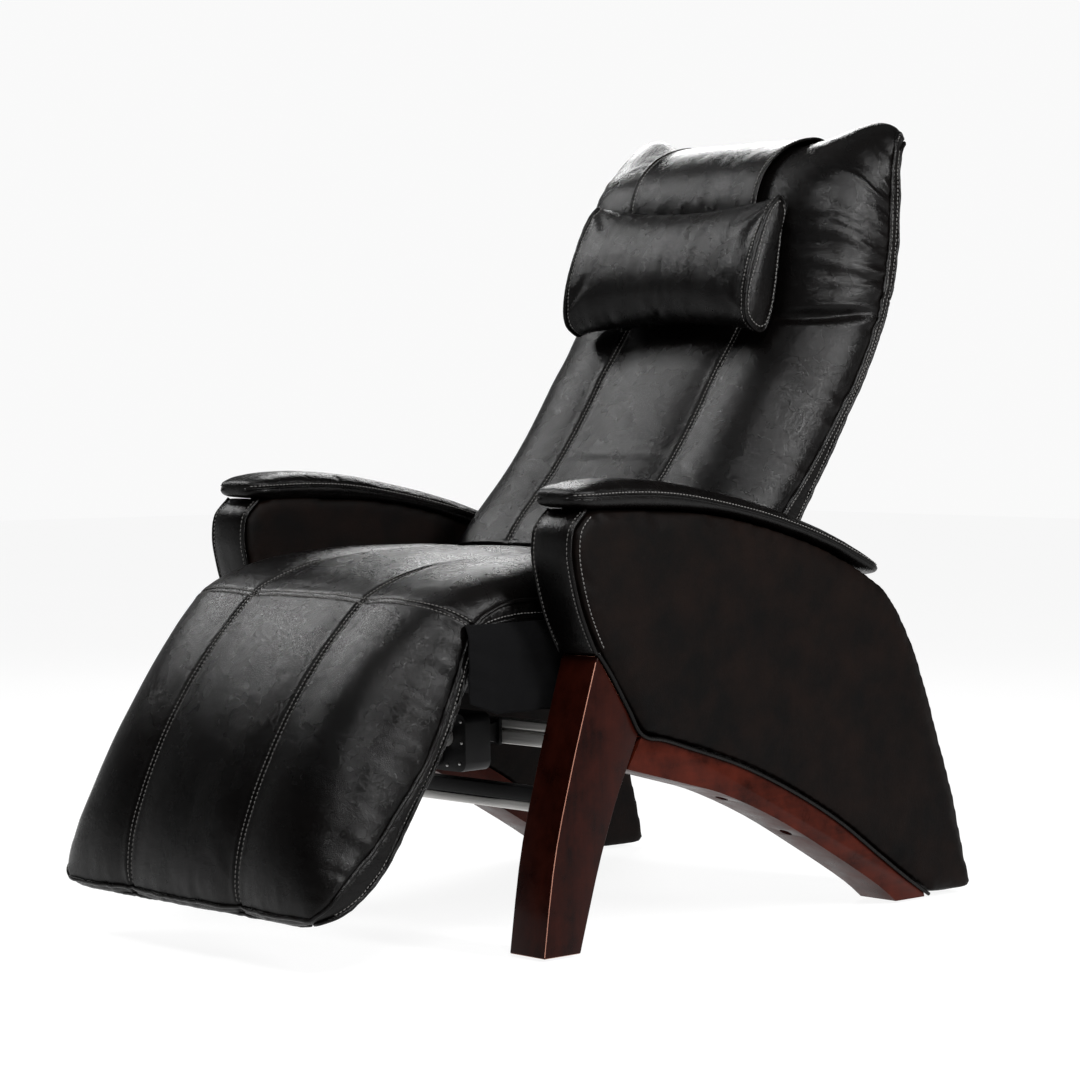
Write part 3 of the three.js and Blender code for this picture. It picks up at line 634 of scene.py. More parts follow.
def side_columns():
    """Places across a side panel, from the long seam (0) to the side seam (1), and how much of the crown is left."""
    w = np.linspace(0, 1, 2000)
    full = (1 - w**SIDE_FULLNESS) ** 0.5
    run = np.concatenate([[0], np.cumsum(np.hypot(168 * np.diff(w), 85 * np.diff(full)))])
    places = np.interp(np.linspace(0, run[-1], SIDE_CELLS + 1), run, w)
    return places, (1 - places**SIDE_FULLNESS) ** 0.5


def pad_grid(rows, lip):
    """A ring for each row of (crown, edge, rear, base, half width): front face, boxing, lip and underside.
    lip is how far the boxing's inner face lies inside the half width; with none the rear narrows to the underside."""
    places, fullness = side_columns()
    rings = []
    for row in rows:
        crown, edge, rear, base, half = row[0:2], row[2:4], row[4:6], row[6:8], row[8]
        seam = min(SEAM_X, 0.62 * half)
        side = [(seam + (half - seam) * w, edge + (crown - edge) * f) for w, f in zip(places, fullness)]
        front = [(-x, p) for x, p in side[::-1]]
        front += [(seam * (2 * k / CENTRE_CELLS - 1), crown) for k in range(1, CENTRE_CELLS)]
        front += side
        shares = [k / BOXING_CELLS for k in range(1, BOXING_CELLS + 1)]
        boxing = [(half + 1.6 * MM * math.sin(math.pi * k) - 0.6 * MM * k, edge + (rear - edge) * k) for k in shares]
        inner = half - (lip or REAR_INSET)
        if lip:
            under = [(inner, rear), (inner - 0.2 * MM, base)]
        else:
            under = [(half - 0.3 * REAR_INSET, (rear + base) / 2), (inner, base)]
        turn = boxing + under
        ring = front + turn + [(inner * k, base) for k in BASE_X] + [(-x, p) for x, p in turn[::-1]]
        rings.append([(x, *p) for x, p in ring])
    return np.array(rings)


def across_from(grid, column):
    """How far each point of a ring grid lies from a column, along its ring."""
    step = np.linalg.norm(np.roll(grid, -1, 1) - grid, axis=2)
    run = np.concatenate([np.zeros((len(grid), 1)), np.cumsum(step, axis=1)[:, :-1]], axis=1)
    return np.abs(run - run[:, column:column + 1])


def along_run(grid, columns=None):
    """How far each row lies along a ring grid, measured on the mean of some of its columns."""
    return lengths_along(grid[:, :columns].mean(axis=1))


def seam_dip(distance, depth, width=3.4 * MM):
    """A sewn channel: a narrow valley with the leather standing slightly proud on both sides."""
    return -depth * bell(distance, width) + 0.28 * depth * bell(distance - 9 * MM, 5 * MM)


def edge_gather(distance, run, seed, height, reach, pitch):
    """Gathers that start at a seam and fade away from it."""
    wander = 0.35 * drift2(run / (2.2 * pitch), distance / (60 * MM), seed + 5)
    waves = drift(run / pitch + wander, seed, 2)
    return height * waves * np.exp(-distance / reach) * (1 - np.exp(-distance / (4 * MM)))


def base_pins(grid, cross_rows):
    """Which points stay in the simulation: the seams, the boxing and the underside."""
    pins = np.ones(grid.shape[:2])
    pins[1:-1, 1:FRONT - 1] = 0
    for column in SEAMS:
        pins[:, column] = 1
    for row in cross_rows:
        pins[row, :] = 1
    return pins


def sew(grid, cross_rows, depth):
    """Pulls the seams in before the pad is blown up, so that it swells between them."""
    normals = ring_normals(grid)
    sunk = grid.copy()
    for column in SEAMS:
        sunk[:, column] -= normals[:, column] * depth
    for row in cross_rows:
        sunk[row, 1:FRONT - 1] -= normals[row, 1:FRONT - 1] * depth
    return sunk


def rounded(grid, first):
    """The grid with its two front corners smoothed a little, from a row to the last one."""
    reach = 26
    fade = 1 - np.arange(reach) / reach
    near = np.zeros(grid.shape[:2])
    near[first:-1, LEFT_SEAM:LEFT_SEAM + reach] = fade
    near[first:-1, RIGHT_SEAM - reach + 1:RIGHT_SEAM + 1] = fade[::-1]
    near[first:-1, RIGHT_SEAM + 1:RIGHT_SEAM + 2 * BOXING_CELLS] = near[first:-1, 1 - 2 * BOXING_CELLS:] = 1
    near *= np.clip((np.arange(len(grid)) - first) / 6, 0, 1)[:, None]
    middle = grid.copy()
    middle[1:-1] = (grid[:-2] + grid[2:] + np.roll(grid, 1, 1)[1:-1] + np.roll(grid, -1, 1)[1:-1]) / 4
    return grid + (middle - grid) * (0.5 * near)[:, :, None]


def pushed(grid, normals, push, run, boxing_wave, room, first, times):
    """The pad with its front face and boxing pushed out, kept within its room, and with rounded front corners.
    boxing_wave is (height, pitch, seed)."""
    columns = np.arange(grid.shape[1])[None, :]
    push = push * ((columns >= LEFT_SEAM) & (columns <= RIGHT_SEAM))
    boxing = (columns > RIGHT_SEAM) & (columns < RIGHT_SEAM + 2 * BOXING_CELLS)
    boxing |= columns > grid.shape[1] - 2 * BOXING_CELLS
    height, pitch, seed = boxing_wave
    push += boxing * height * drift2(run / pitch, columns / 4.0, seed)
    push[:3], push[-3:] = 0, 0
    grid = grid + normals * push[:, :, None]
    grid[:, :, 0] = np.clip(grid[:, :, 0], -room, room)
    for _ in range(times):
        grid = rounded(grid, first)
    return grid


def rear_seams(grid):
    return grid.shape[1] - 2 * BOXING_CELLS, RIGHT_SEAM + 2 * BOXING_CELLS


def pipe_path(grid, normals, left, right, first, row):
    """Up one side column, across a row and back down the other side."""
    raised = grid + normals * 1.2 * MM
    up, down = raised[first:row + 1, left], raised[first:row + 1, right][::-1]
    return np.concatenate([up, raised[row, 1:2 * FRONT - 2], down])


def wavy(points, seed, height, pitch):
    run = lengths_along(points)
    shake = np.stack([drift(run / pitch, seed + k, 2) for k in range(3)], 1) * height
    return points + shake


def seam_stitches(grid, normals, cross_rows, first, last):
    """A row of stitches on each side of the long seams and of the seams across."""
    parts = []
    for column in FINE_SEAMS:
        for offset in (-STITCH_AWAY, STITCH_AWAY):
            parts += stitch_parts(*offset_line(grid, normals, range(first, last + 1), column, offset))
    for row in cross_rows:
        for offset in (-STITCH_AWAY, STITCH_AWAY):
            parts += stitch_parts(*offset_row(grid, normals, row, range(3, 2 * FRONT - 4), offset))
    return parts


def boxing_stitches(grid, normals, first, last, inset=5 * MM):
    """A row of stitches on each side boxing, just in front of the rear piping."""
    parts = []
    for column, offset in zip(rear_seams(grid), (inset, -inset)):
        parts += stitch_parts(*offset_line(grid, normals, range(first, last), column, offset))
    return parts


# The seat and the leg rest are one cushion over the knee. Each row holds four points, for the crown, the side seam, the
# rear of the boxing and the underside, and the half width.
SEAT_ROWS = [
    (80, 510, 150, 468, 155, 449, 190, 438, 285), (62, 516, 95, 474, 110, 449, 150, 438, 285),
    (20, 519, 45, 475, 50, 448, 60, 438, 285), (-79, 520, -60, 474, -60, 447, -60, 438, 285),
    (-160, 520, -155, 470.5, -155, 446, -155, 438, 285), (-213, 518, -210, 468.5, -210, 446, -210, 438, 285),
    (-290, 508, -273, 466, -270, 445, -270, 438, 285), (-335, 496, -309, 456, -300, 441, -305, 438, 285),
    (-390, 470.6, -338.7, 435.9, -326, 431, -330, 434, 285),
]
LEG_ROWS = [
    (15, 97, 8, 26, 8, 16, 8, 19, 285), (41, 103, 28, 24, 28, 12, 26, 12, 285.5),
    (76, 110.5, 68, 18, 66, 5, 60, 5, 286), (115, 116, 109, 13, 106, -2, 106, 2.5, 287),
    (193, 120.5, 186, 6, 184, -8, 184, 2.5, 287), (252, 118, 250, 14, 248, -6, 248, 2.5, 287),
    (321, 108, 321, 25.5, 312, -6, 318, 2.5, 287), (370, 95, 364, 38, 352, 0, 366, 3, 286),
    (402, 80, 396, 45, 388, 12, 392, 12, 283.5), (423, 66, 418, 49, 412, 24, 412, 22, 276),
    (436, 51, 433, 50, 429, 36, 424, 33, 262), (441, 40, 439, 40, 431, 34, 427, 33, 252),
    (430, 33.5, 430, 34, 429, 33.5, 428, 33, 248),
]


def pad_rows(point, table):
    """The table's rows in metres. point turns each pair of numbers into a place."""
    return [[*point(*r[0:2]), *point(*r[2:4]), *point(*r[4:6]), *point(*r[6:8]), r[8] * MM] for r in table]


KNEE_BLEND = ("seat", "leg", (0, *chair_point(-300, 470)), (0, *leg_point(25, 60)))


def make_seat():
    table = pad_rows(chair_point, SEAT_ROWS) + pad_rows(leg_point, LEG_ROWS)
    rows, (knee_row, foot_row) = through(table, 6.4 * MM, marks=(8, 19))
    grid = pad_grid(rows, 2.6 * MM)
    grid = sew(grid, (knee_row,), 1.6 * MM)
    pins = base_pins(grid, (knee_row, foot_row))
    pins[foot_row:] = 1
    grid = refined(inflated("seat_cushion", grid, pins, 4.0, 10 * MM, surplus=0.001))
    knee_row, foot_row = 2 * knee_row, 2 * foot_row
    normals = ring_normals(grid)
    run = along_run(grid, 2 * FRONT)[:, None]
    push = np.zeros(grid.shape[:2])
    for k, column in enumerate(FINE_SEAMS):
        away = across_from(grid, column)
        push += seam_dip(away, 1.5 * MM) + edge_gather(away, run, 11 + k, 0.55 * MM, 13 * MM, 17 * MM)
        push -= PANEL_CROWN * bell(away, 36 * MM)
    knee_away = np.abs(run - run[knee_row])
    push += seam_dip(knee_away, 1.3 * MM)
    push += 0.7 * MM * drift2(grid[:, :, 0] / (19 * MM), run / (60 * MM), 5) * np.exp(-knee_away / (22 * MM))
    lengthways = np.clip((run - run[knee_row]) / 0.1, 0, 1)
    for k, column in enumerate((LEFT_SEAM, RIGHT_SEAM)):
        away = across_from(grid, column)
        pull = edge_gather(away, run, 21 + k, 2.3 * MM, 26 * MM, 15 * MM) * (0.45 + 0.55 * lengthways)
        push += pull - 1.6 * MM * bell(away, 5 * MM)
    foot_away = np.abs(run - run[foot_row])
    push += 1.3 * MM * drift2(grid[:, :, 0] / (17 * MM), run / (70 * MM), 8) * np.exp(-foot_away / (24 * MM))
    push += 0.9 * MM * drift2(grid[:, :, 0] / (70 * MM), run / (90 * MM), 3)
    room = np.where(np.abs(run - run[knee_row]) < 70 * MM, 286.2, 292.0) * MM
    grid = pushed(grid, normals, push, run, (1.0 * MM, 9 * MM, 13), room, foot_row - 16, 8)
    normals = ring_normals(grid)

    cushion = closed_grid("seat_and_leg_cushion", grid, "black_leather")
    settle(cushion, KNEE_BLEND, ("seat_cushion", "leg_cushion"))
    front_pipe = wavy(pipe_path(grid, normals, LEFT_SEAM, RIGHT_SEAM, 4, foot_row), 31, 0.8 * MM, 17 * MM)
    rear_pipe = wavy(pipe_path(grid, normals, *rear_seams(grid), 4, len(grid) - 3), 41, 1.0 * MM, 14 * MM)
    stitches = seam_stitches(grid, normals, (knee_row,), 6, foot_row - 1)
    stitches += boxing_stitches(grid, normals, 8, foot_row - 4)
    add_trim("seat_and_leg", KNEE_BLEND, pipe_parts((front_pipe, rear_pipe), PIPE_R), stitches)


# ---------------------------------------------------------------- back and head

EAR = {"height": 40, "place": 242 * MM, "width": 66 * MM}  # the raised top corners

BACK_ROWS = [
    (46, 152, 46, 60, 40, 20, 38, -29, 285), (89, 147, 82, 53, 80, 15, 80, -30, 285),
    (140, 134.5, 132, 40, 130, 6, 130, -30, 286), (189, 122.5, 186, 26, 184, -4, 184, -30, 286),
    (250, 113, 250, 12, 250, -10, 250, -30, 286), (311, 107, 307, 3, 307, -14, 307, -30, 287),
    (374, 103.5, 380, -4, 378, -17, 378, -30, 288), (420, 98, 436, -10, 434, -20, 432, -30, 288),
    (448, 95, 494, -9, 492, -20, 490, -30, 288), (472, 94, 538, -4, 536, -18, 534, -30, 287),
    (500, 104, 564, 3, 562, -12, 560, -28, 288), (535, 119, 588, 9, 585, -8, 582, -26, 288),
    (570, 134, 610, 17, 607, -1, 604, -20, 288), (605, 150, 630, 25, 627, 7, 624, -14, 288),
    (643, 164, 650, 34, 647, 15, 644, -8, 288), (676, 165, 671, 45, 668, 26, 664, -1, 288),
    (717, 152, 700, 60, 696, 40, 690, 6, 287), (745, 134, 725, 72, 720, 52, 714, 14, 286),
    (766, 112, 748, 82, 742, 64, 736, 25, 282), (781, 89, 766, 86, 760, 66, 756, 37, 276),
    (785, 74, 773, 78, 767, 60, 764, 43, 270), (784, 58, 773, 66, 769, 56, 768, 46, 265),
    (774, 47, 770, 54, 769, 50, 768, 46, 262),
]


def up_the_back(grid):
    """How far up the back each point lies, in millimetres."""
    from_hinge = grid[..., 1:] - BACK_HINGE
    return (from_hinge @ np.array([math.sin(BACK_LEAN), math.cos(BACK_LEAN)])) / MM


def raise_ears(grid):
    """The grid with its top corners lifted along the back."""
    height = up_the_back(grid)
    share = np.clip((height - 715) / 69, 0, 1)
    share = share * share * (3 - 2 * share)
    lift = EAR["height"] * MM * bell(np.abs(grid[..., 0]) - EAR["place"], EAR["width"]) * share
    grid = grid.copy()
    grid[..., 1] += lift * math.sin(BACK_LEAN)
    grid[..., 2] += lift * math.cos(BACK_LEAN)
    return grid


def make_back():
    rows, (neck_row,) = through(pad_rows(back_point, BACK_ROWS), 6.4 * MM, marks=(9,))
    grid = pad_grid(rows, 0)
    normals = ring_normals(grid)
    for j in range(1, FRONT - 1):  # the fold at the neck, deeper towards the sides
        x = abs(grid[neck_row, j, 0])
        depth = (1.5 + 11 * min(1, max(0, (x - 0.15) / 0.1))) * MM * min(1, (0.290 - x) / 0.012)
        grid[neck_row, j] -= normals[neck_row, j] * depth
        for near in (-1, 1):
            grid[neck_row + near, j] -= normals[neck_row + near, j] * depth * 0.45
    for column in SEAMS:
        grid[:neck_row, column] -= normals[:neck_row, column] * 1.6 * MM
    grid = raise_ears(grid)
    pins = base_pins(grid, (neck_row,))
    for column in SEAMS:
        pins[neck_row + 1:-1, column] = 0
    strapped = (np.abs(grid[:, :, 0]) < 138 * MM) & (np.arange(len(grid))[:, None] > neck_row + 3)
    pins[strapped] = 1
    grid = refined(inflated("back_cushion", grid, pins, 3.0, 11 * MM, surplus=0.0))
    neck_row *= 2
    normals = ring_normals(grid)
    run = along_run(grid, 2 * FRONT)[:, None]
    height = up_the_back(grid)
    push = np.zeros(grid.shape[:2])
    below = np.clip((run[neck_row] - run) / (12 * MM), 0, 1)
    for k, column in enumerate(FINE_SEAMS):
        away = across_from(grid, column)
        push += below * (seam_dip(away, 1.5 * MM) + edge_gather(away, run, 51 + k, 0.5 * MM, 13 * MM, 19 * MM))
        push -= below * 0.7 * PANEL_CROWN * bell(away, 36 * MM)
    wing = np.clip((np.abs(grid[:, :, 0]) - 130 * MM) / (30 * MM), 0, 1)
    for k, column in enumerate((LEFT_SEAM, RIGHT_SEAM)):
        away = across_from(grid, column)
        push += edge_gather(away, run, 61 + k, 2.6 * MM, 34 * MM, 17 * MM)
        head = np.clip((height - 470) / 60, 0, 1) * np.clip((790 - height) / 60, 0, 1)
        folds = drift2(run / (15 * MM) + 0.8 * drift(away / (70 * MM), 75 + k), away / (85 * MM), 71 + k, 2)
        push += head * wing * 5.6 * MM * folds * np.exp(-away / (80 * MM)) * (1 - np.exp(-away / (10 * MM)))
        push -= 1.6 * MM * bell(away, 5 * MM)
        neck = bell(run - run[neck_row], 42 * MM)
        push += neck * 3.0 * MM * drift2(run / (9 * MM), away / (55 * MM), 81 + k, 2) * np.exp(-away / (70 * MM))
    push += 1.1 * MM * drift2(grid[:, :, 0] / (75 * MM), run / (90 * MM), 9) * (0.3 + 0.7 * wing)
    room = np.where(height < 330, 287.0, 293.5) * MM
    grid = pushed(grid, normals, push, run, (1.2 * MM, 10 * MM, 14), room, len(grid) - 30, 10)
    normals = ring_normals(grid)

    cushion = closed_grid("back_and_head_cushion", grid, "black_leather")
    settle(cushion, "back", ("back_cushion", "head_cushion", "back_shell"))
    raised = (grid + normals * 1.2 * MM)[3:-3]
    lines = [wavy(pipe_path(grid, normals, LEFT_SEAM, RIGHT_SEAM, 3, len(grid) - 3), 91, 1.0 * MM, 16 * MM)]
    lines += [wavy(raised[:, column], 95, 1.0 * MM, 14 * MM) for column in rear_seams(grid)]
    stitches = seam_stitches(grid, normals, (), 3, neck_row - 3)
    stitches += boxing_stitches(grid, normals, 5, len(grid) - 16, 4 * MM)
    for column, offset in ((LEFT_SEAM, -4.5 * MM), (RIGHT_SEAM, 4.5 * MM)):
        stitches += stitch_parts(*offset_line(grid, normals, range(6, len(grid) - 10), column, offset))
    add_trim("back", "back", pipe_parts(lines, PIPE_R), stitches)


make_seat()
make_back()


# ---------------------------------------------------------------- head strap, pillow and counterweight

PILLOW_RING = [(627, 170), (586, 154), (545, 138), (510, 124), (478, 114), (455, 110), (440, 111), (431.5, 120),
               (430, 135), (435, 151), (454, 166), (488, 178), (528, 186.5), (566, 190.5), (597, 190.5), (617, 186.5),
               (629, 179)]
PILLOW_HALF = 190 * MM
PILLOW_WAIST = 0.15
PILLOW_CAP = ((0.93, 2.4), (0.8, 4.8), (0.6, 7.0), (0.35, 8.2))  # an end's rings: share of the size, mm past the half


def pillow_chord(s):
    """How far out the pillow's rear lies, s up the back."""
    return 171 - (627 - s) / (627 - 438) * 60


def ring_through(knots, count):
    """A smooth closed line through points, evenly spaced."""
    wrapped = list(knots[-3:]) + list(knots) + list(knots[:4])
    line, _ = through(wrapped, 0.4)
    lengths = lengths_along(line)
    start = np.argmin(np.linalg.norm(line[:len(line) // 2] - np.array(knots[0]), axis=1))
    stop = start + 40 + np.argmin(np.linalg.norm(line[start + 40:] - np.array(knots[0]), axis=1))
    places = np.linspace(lengths[start], lengths[stop], count, endpoint=False)
    return np.stack([np.interp(places, lengths, line[:, k]) for k in range(2)], 1)


def make_pillow():
    ring = ring_through(PILLOW_RING, 72)
    centre = ring.mean(axis=0)
    x = np.linspace(-1, 1, 58)
    rings = []
    depth = ring[:, 1] - pillow_chord(ring[:, 0])
    for t in x:
        waist = 1 - PILLOW_WAIST * (1 - t * t)
        heights = centre[0] + (ring[:, 0] - centre[0]) * waist
        rings.append([(t * PILLOW_HALF, *back_point(s, pillow_chord(s) + d)) for s, d in zip(heights, depth)])
    ends = []
    for share, out in PILLOW_CAP:
        ends.append([(PILLOW_HALF + out * MM, *back_point(*(centre + (p - centre) * share))) for p in ring])
    other = [[(-px, py, pz) for px, py, pz in end] for end in ends[::-1]]
    grid = np.array(other + rings + ends)
    first, last = len(other), len(other) + len(rings) - 1
    pins = np.zeros(grid.shape[:2])
    pins[:first + 1] = pins[last:] = 1
    rear = [k for k, (s, n) in enumerate(ring) if n < pillow_chord(s) + 2]
    pins[:, rear] = 1
    grid = refined(inflated("head_pillow", grid, pins, 6.0, 9 * MM, surplus=0.002))
    first, last = 2 * first, 2 * last
    normals = outward(grid, grid.mean(axis=(0, 1)))
    run = grid[:, :, 0]
    from_end = PILLOW_HALF - np.abs(run)
    turn = np.arange(grid.shape[1])[None, :] / 5.0
    push = 0.9 * MM * drift(turn, 101, 2) * np.exp(-np.abs(from_end) / (22 * MM))
    push += 0.8 * MM * drift2(run / (20 * MM), turn / 7, 103)
    push -= 1.5 * MM * bell(from_end, 4 * MM)
    push[:4], push[-4:] = 0, 0
    push[:, [2 * k for k in rear]] = 0
    grid = grid + normals * push[:, :, None]
    normals = outward(grid, grid.mean(axis=(0, 1)))
    pillow = closed_grid("head_pillow_cushion", grid, "black_leather")
    settle(pillow, "pillow", ("head_pillow",))
    pipes, stitches = [], []
    for row, inside in ((first, 7), (last, -7)):
        line = grid[row] + normals[row] * 1.0 * MM
        pipes.append(tube_mesh(even_line(np.concatenate([line, line[:1]]), 5 * MM)[:-1], PIPE_R, closed=True))
        for offset in (inside * MM, -inside * MM):
            stitches += stitch_parts(*offset_row(grid, normals, row, range(grid.shape[1]), offset))
    add_trim("head_pillow", "pillow", pipes, stitches)


STRAP = [(470, 99), (512, 115), (553, 134), (600, 155), (640, 171), (678, 174), (721, 160), (752, 139), (774, 117),
         (789, 95), (794, 76), (790, 56), (764, 32), (733, 16), (700, 2), (660, -13), (622, -24), (575, -34.5)]
STRAP_HALF = 131 * MM
STRAP_BARE_ROWS = 22  # rows without stitches, where the pillow slides


def make_strap():
    line, _ = through([back_point(s, n) for s, n in STRAP], 7 * MM)
    rows, columns = len(line), 36
    ahead = unit(np.gradient(line, axis=0))
    out = np.stack([-ahead[:, 1], ahead[:, 0]], 1)
    if out[0] @ (back_point(0, 1) - back_point(0, 0)) < 0:
        out = -out
    x = np.linspace(-1, 1, columns)
    run = np.arange(rows)[:, None] * 7 * MM
    wave = 1.0 * MM * drift2(x[None, :] * 4, run / (60 * MM), 111)
    edge = np.clip((1 - np.abs(x)) * STRAP_HALF / (9 * MM), 0, 1)[None, :] ** 0.5
    front, rear = [], []
    for i in range(rows):
        lift = wave[i] + 0.8 * MM * edge[0]
        front.append([(v * STRAP_HALF, *(line[i] + out[i] * (1.1 * MM + lift[j]))) for j, v in enumerate(x)])
        rear.append([(v * STRAP_HALF, *(line[i] + out[i] * (-1.1 * MM + wave[i][j]))) for j, v in enumerate(x)][::-1])
    grid = refined(np.concatenate([np.array(front), np.array(rear)], axis=1))
    strap = closed_grid("head_strap", grid, "black_leather")
    settle(strap, "back", ("pillow_strap",))
    face = np.array(front)
    face_up = np.repeat(np.concatenate([np.zeros((rows, 1)), out], 1)[:, None], columns, axis=1)
    stitches = []
    for column, offset in ((0, 6 * MM), (columns - 1, -6 * MM)):
        stitches += stitch_parts(*offset_line(face, face_up, range(STRAP_BARE_ROWS, rows - 1), column, offset))
    add_trim("head_strap", "back", pipe_parts((face[:, 0], face[:, -1]), 2.2 * MM), stitches)


def make_counterweight():
    low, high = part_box("pillow_counterweight")
    x = np.linspace(low.x, high.x, 30)
    outline = [(486, -40), (484, -50), (488, -59), (500, -64.5), (530, -65.5), (562, -63), (576, -56), (580, -46),
               (577, -40), (545, -39), (515, -39)]
    ring = ring_through(outline, 44)
    centre = ring.mean(axis=0)
    rings = []
    for value in x:
        t = abs(value) / high.x
        share = (1 - max(0, (t - 0.9) / 0.1) ** 2 * 0.55) * (1 + 0.012 * math.sin(value * 90))
        rings.append([(value, *back_point(*(centre + (p - centre) * share))) for p in ring])
    grid = refined(np.array(rings))
    bag = closed_grid("counterweight_pouch", grid, "black_leather")
    settle(bag, "counterweight", ("pillow_counterweight",))


make_pillow()
make_strap()
make_counterweight()


# ---------------------------------------------------------------- arms

ARM_PAD_ENDS = {"front": -249, "rear": 369, "front_round": 30, "rear_round": 26}
ARM_PAD = [(-249, 610, 604, 598), (-246, 616, 605, 595), (-232, 623, 606, 592), (-205, 628, 607, 590),
           (-175, 630, 608, 590), (-80, 626, 606, 588), (39, 607, 590, 579), (162, 580, 563.5, 553),
           (268, 546, 531, 521), (340, 514, 501.5, 491), (369, 497, 489, 483)]  # y, top, seam, underside
ARM_PAD_X = 340 * MM


def mirror_image(piece, name):
    """The same piece on the other side of the chair."""
    def flip(work):
        for vertex in work.verts:
            vertex.co.x = -vertex.co.x
        bmesh.ops.reverse_faces(work, faces=work.faces)

    made = placed(name, piece.data.copy())
    edit_mesh(made.data, flip)
    made.data.name = name
    return made


def both_sides(piece, stem, node=None, body="base"):
    """Names the piece left_..., adds its right_ twin, and lets both stand for their CAD nodes."""
    piece.name = f"left_{stem}"
    twin = mirror_image(piece, f"right_{stem}")
    for side, made in (("left", piece), ("right", twin)):
        settle(made, body, (f"{side}_{node}",) if node else ())
    return piece, twin


def trim_both(stem, parts, finish):
    both_sides(joined(stem, parts, finish), stem)


def make_arm_pads():
    def lost(r, d):
        return r - math.sqrt(max(0, r * r - (r - d) ** 2)) if d < r else 0

    rows, _ = through(ARM_PAD, 6.0)
    ends = ARM_PAD_ENDS
    rings = []
    angles = np.concatenate([np.linspace(0, math.pi, 19)[:-1], math.pi + np.linspace(0, math.pi, 15)[:-1]])
    for y, top, seam, under in rows:
        half = 48.6 - lost(ends["front_round"], y - ends["front"]) - lost(ends["rear_round"], ends["rear"] - y)
        ring = []
        for angle in angles:
            c, s = math.cos(angle), math.sin(angle)
            x = ARM_PAD_X + half * MM * math.copysign(abs(c) ** 0.5, c)
            rise = (top - 2 - seam) if s >= 0 else (seam - under)
            ring.append((x, *chair_point(y, seam + rise * math.copysign(abs(s) ** 0.75, s))))
        rings.append(ring)
    grid = np.array(rings)
    seam_columns = (0, 18)
    pins = np.zeros(grid.shape[:2])
    pins[:, 18:] = pins[:, 0] = pins[0] = pins[-1] = 1
    grid = refined(inflated("arm_pad", grid, pins, 4.0, 4 * MM, surplus=0.002))
    normals = ring_normals(grid)
    run = along_run(grid)[:, None]
    push = np.zeros(grid.shape[:2])
    for k, column in enumerate(seam_columns):
        away = across_from(grid, 2 * column)
        push += seam_dip(away, 1.3 * MM, 2.6 * MM) + edge_gather(away, run, 121 + k, 0.5 * MM, 10 * MM, 15 * MM)
    tip = np.exp(-run / (28 * MM))
    push += tip * 1.5 * MM * drift2(np.arange(grid.shape[1])[None, :] / 7.0, run / (30 * MM), 127)
    push += 0.5 * MM * drift2(run / (50 * MM), np.arange(grid.shape[1])[None, :] / 12.0, 125)
    push[:2], push[-2:] = 0, 0
    grid = grid + normals * push[:, :, None]
    normals = ring_normals(grid)
    both_sides(closed_grid("left_arm_cushion", grid, "black_leather"), "arm_cushion", "arm_pad")
    stitches = []
    for column in seam_columns:
        side = 4.2 * MM if column == 0 else -4.2 * MM
        stitches += stitch_parts(*offset_line(grid, normals, range(3, len(grid) - 3), 2 * column, side))
    trim_both("arm_cushion_stitching", stitches, "seam_thread")
    raised = (grid + normals * 0.3 * MM)[1:-1]
    trim_both("arm_cushion_piping", pipe_parts([raised[:, 2 * c] for c in seam_columns], 1.7 * MM), "black_leather")


def evaluated_copy(source, name, modifiers):
    """A new mesh object from a CAD node's shape with modifiers applied. modifiers are (type, {setting: value})."""
    def merge(mesh):
        bmesh.ops.remove_doubles(mesh, verts=mesh.verts, dist=1e-6)
        bmesh.ops.dissolve_limit(mesh, angle_limit=math.radians(0.6), verts=mesh.verts, edges=mesh.edges)

    work = placed(name + "_work", source.data.copy())
    edit_mesh(work.data, merge)
    for kind, settings in modifiers:
        modifier = work.modifiers.new(kind.lower(), kind)
        for key, value in settings.items():
            setattr(modifier, key, value)
    graph = bpy.context.evaluated_depsgraph_get()
    mesh = bpy.data.meshes.new_from_object(work.evaluated_get(graph), depsgraph=graph)
    bpy.data.objects.remove(work, do_unlink=True)
    mesh.name = name
    return placed(name, mesh)


def painted_edge_highlight(piece, edge):
    """Paints a highlight on the middle of each rounded edge: those faces take a brighter finish that stands in for the
    light the edge catches.
    """
    narrow_side, long_side = 1.4 * MM, 6 * MM

    def mark(work):
        narrow = set()
        for face in work.faces:
            sides = sorted(side.calc_length() for side in face.edges)
            if len(sides) == 4 and sides[1] < narrow_side and sides[2] > long_side:
                narrow.add(face)
        for face in narrow:
            along = [side for side in face.edges if side.calc_length() > long_side]
            if all(other in narrow for side in along for other in side.link_faces):
                # These faces take the painted edge highlight.
                face.material_index = 1

    piece.data.materials.append(FINISH[edge])
    edit_mesh(piece.data, mark)


def dressed(node, finish, bevel, segments=3, edge=None, name=None, change=None):
    """A copy of a CAD node with rounded edges and smooth curves, in its place. bevel is in millimetres, edge is the
    finish of the painted highlight on its rounded edges, and change reshapes the copy's points."""
    source = frame["nodes"][node]
    rounding = {"width": bevel * MM, "segments": segments, "limit_method": "ANGLE", "angle_limit": math.radians(28)}
    made = evaluated_copy(source, name or f"{node}_finished", [("BEVEL", rounding)])
    refinish(made, finish)
    # The rounded edges get a painted highlight.
    if edge:
        painted_edge_highlight(made, edge)
    shade_smooth(made.data)
    made.data.set_sharp_from_angle(angle=math.radians(35))
    if change:
        shape_points(made, change)
    return settle(made, source["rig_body"], (node,))


def refinish(piece, finish):
    piece.data.materials.clear()
    piece.data.materials.append(FINISH[finish])


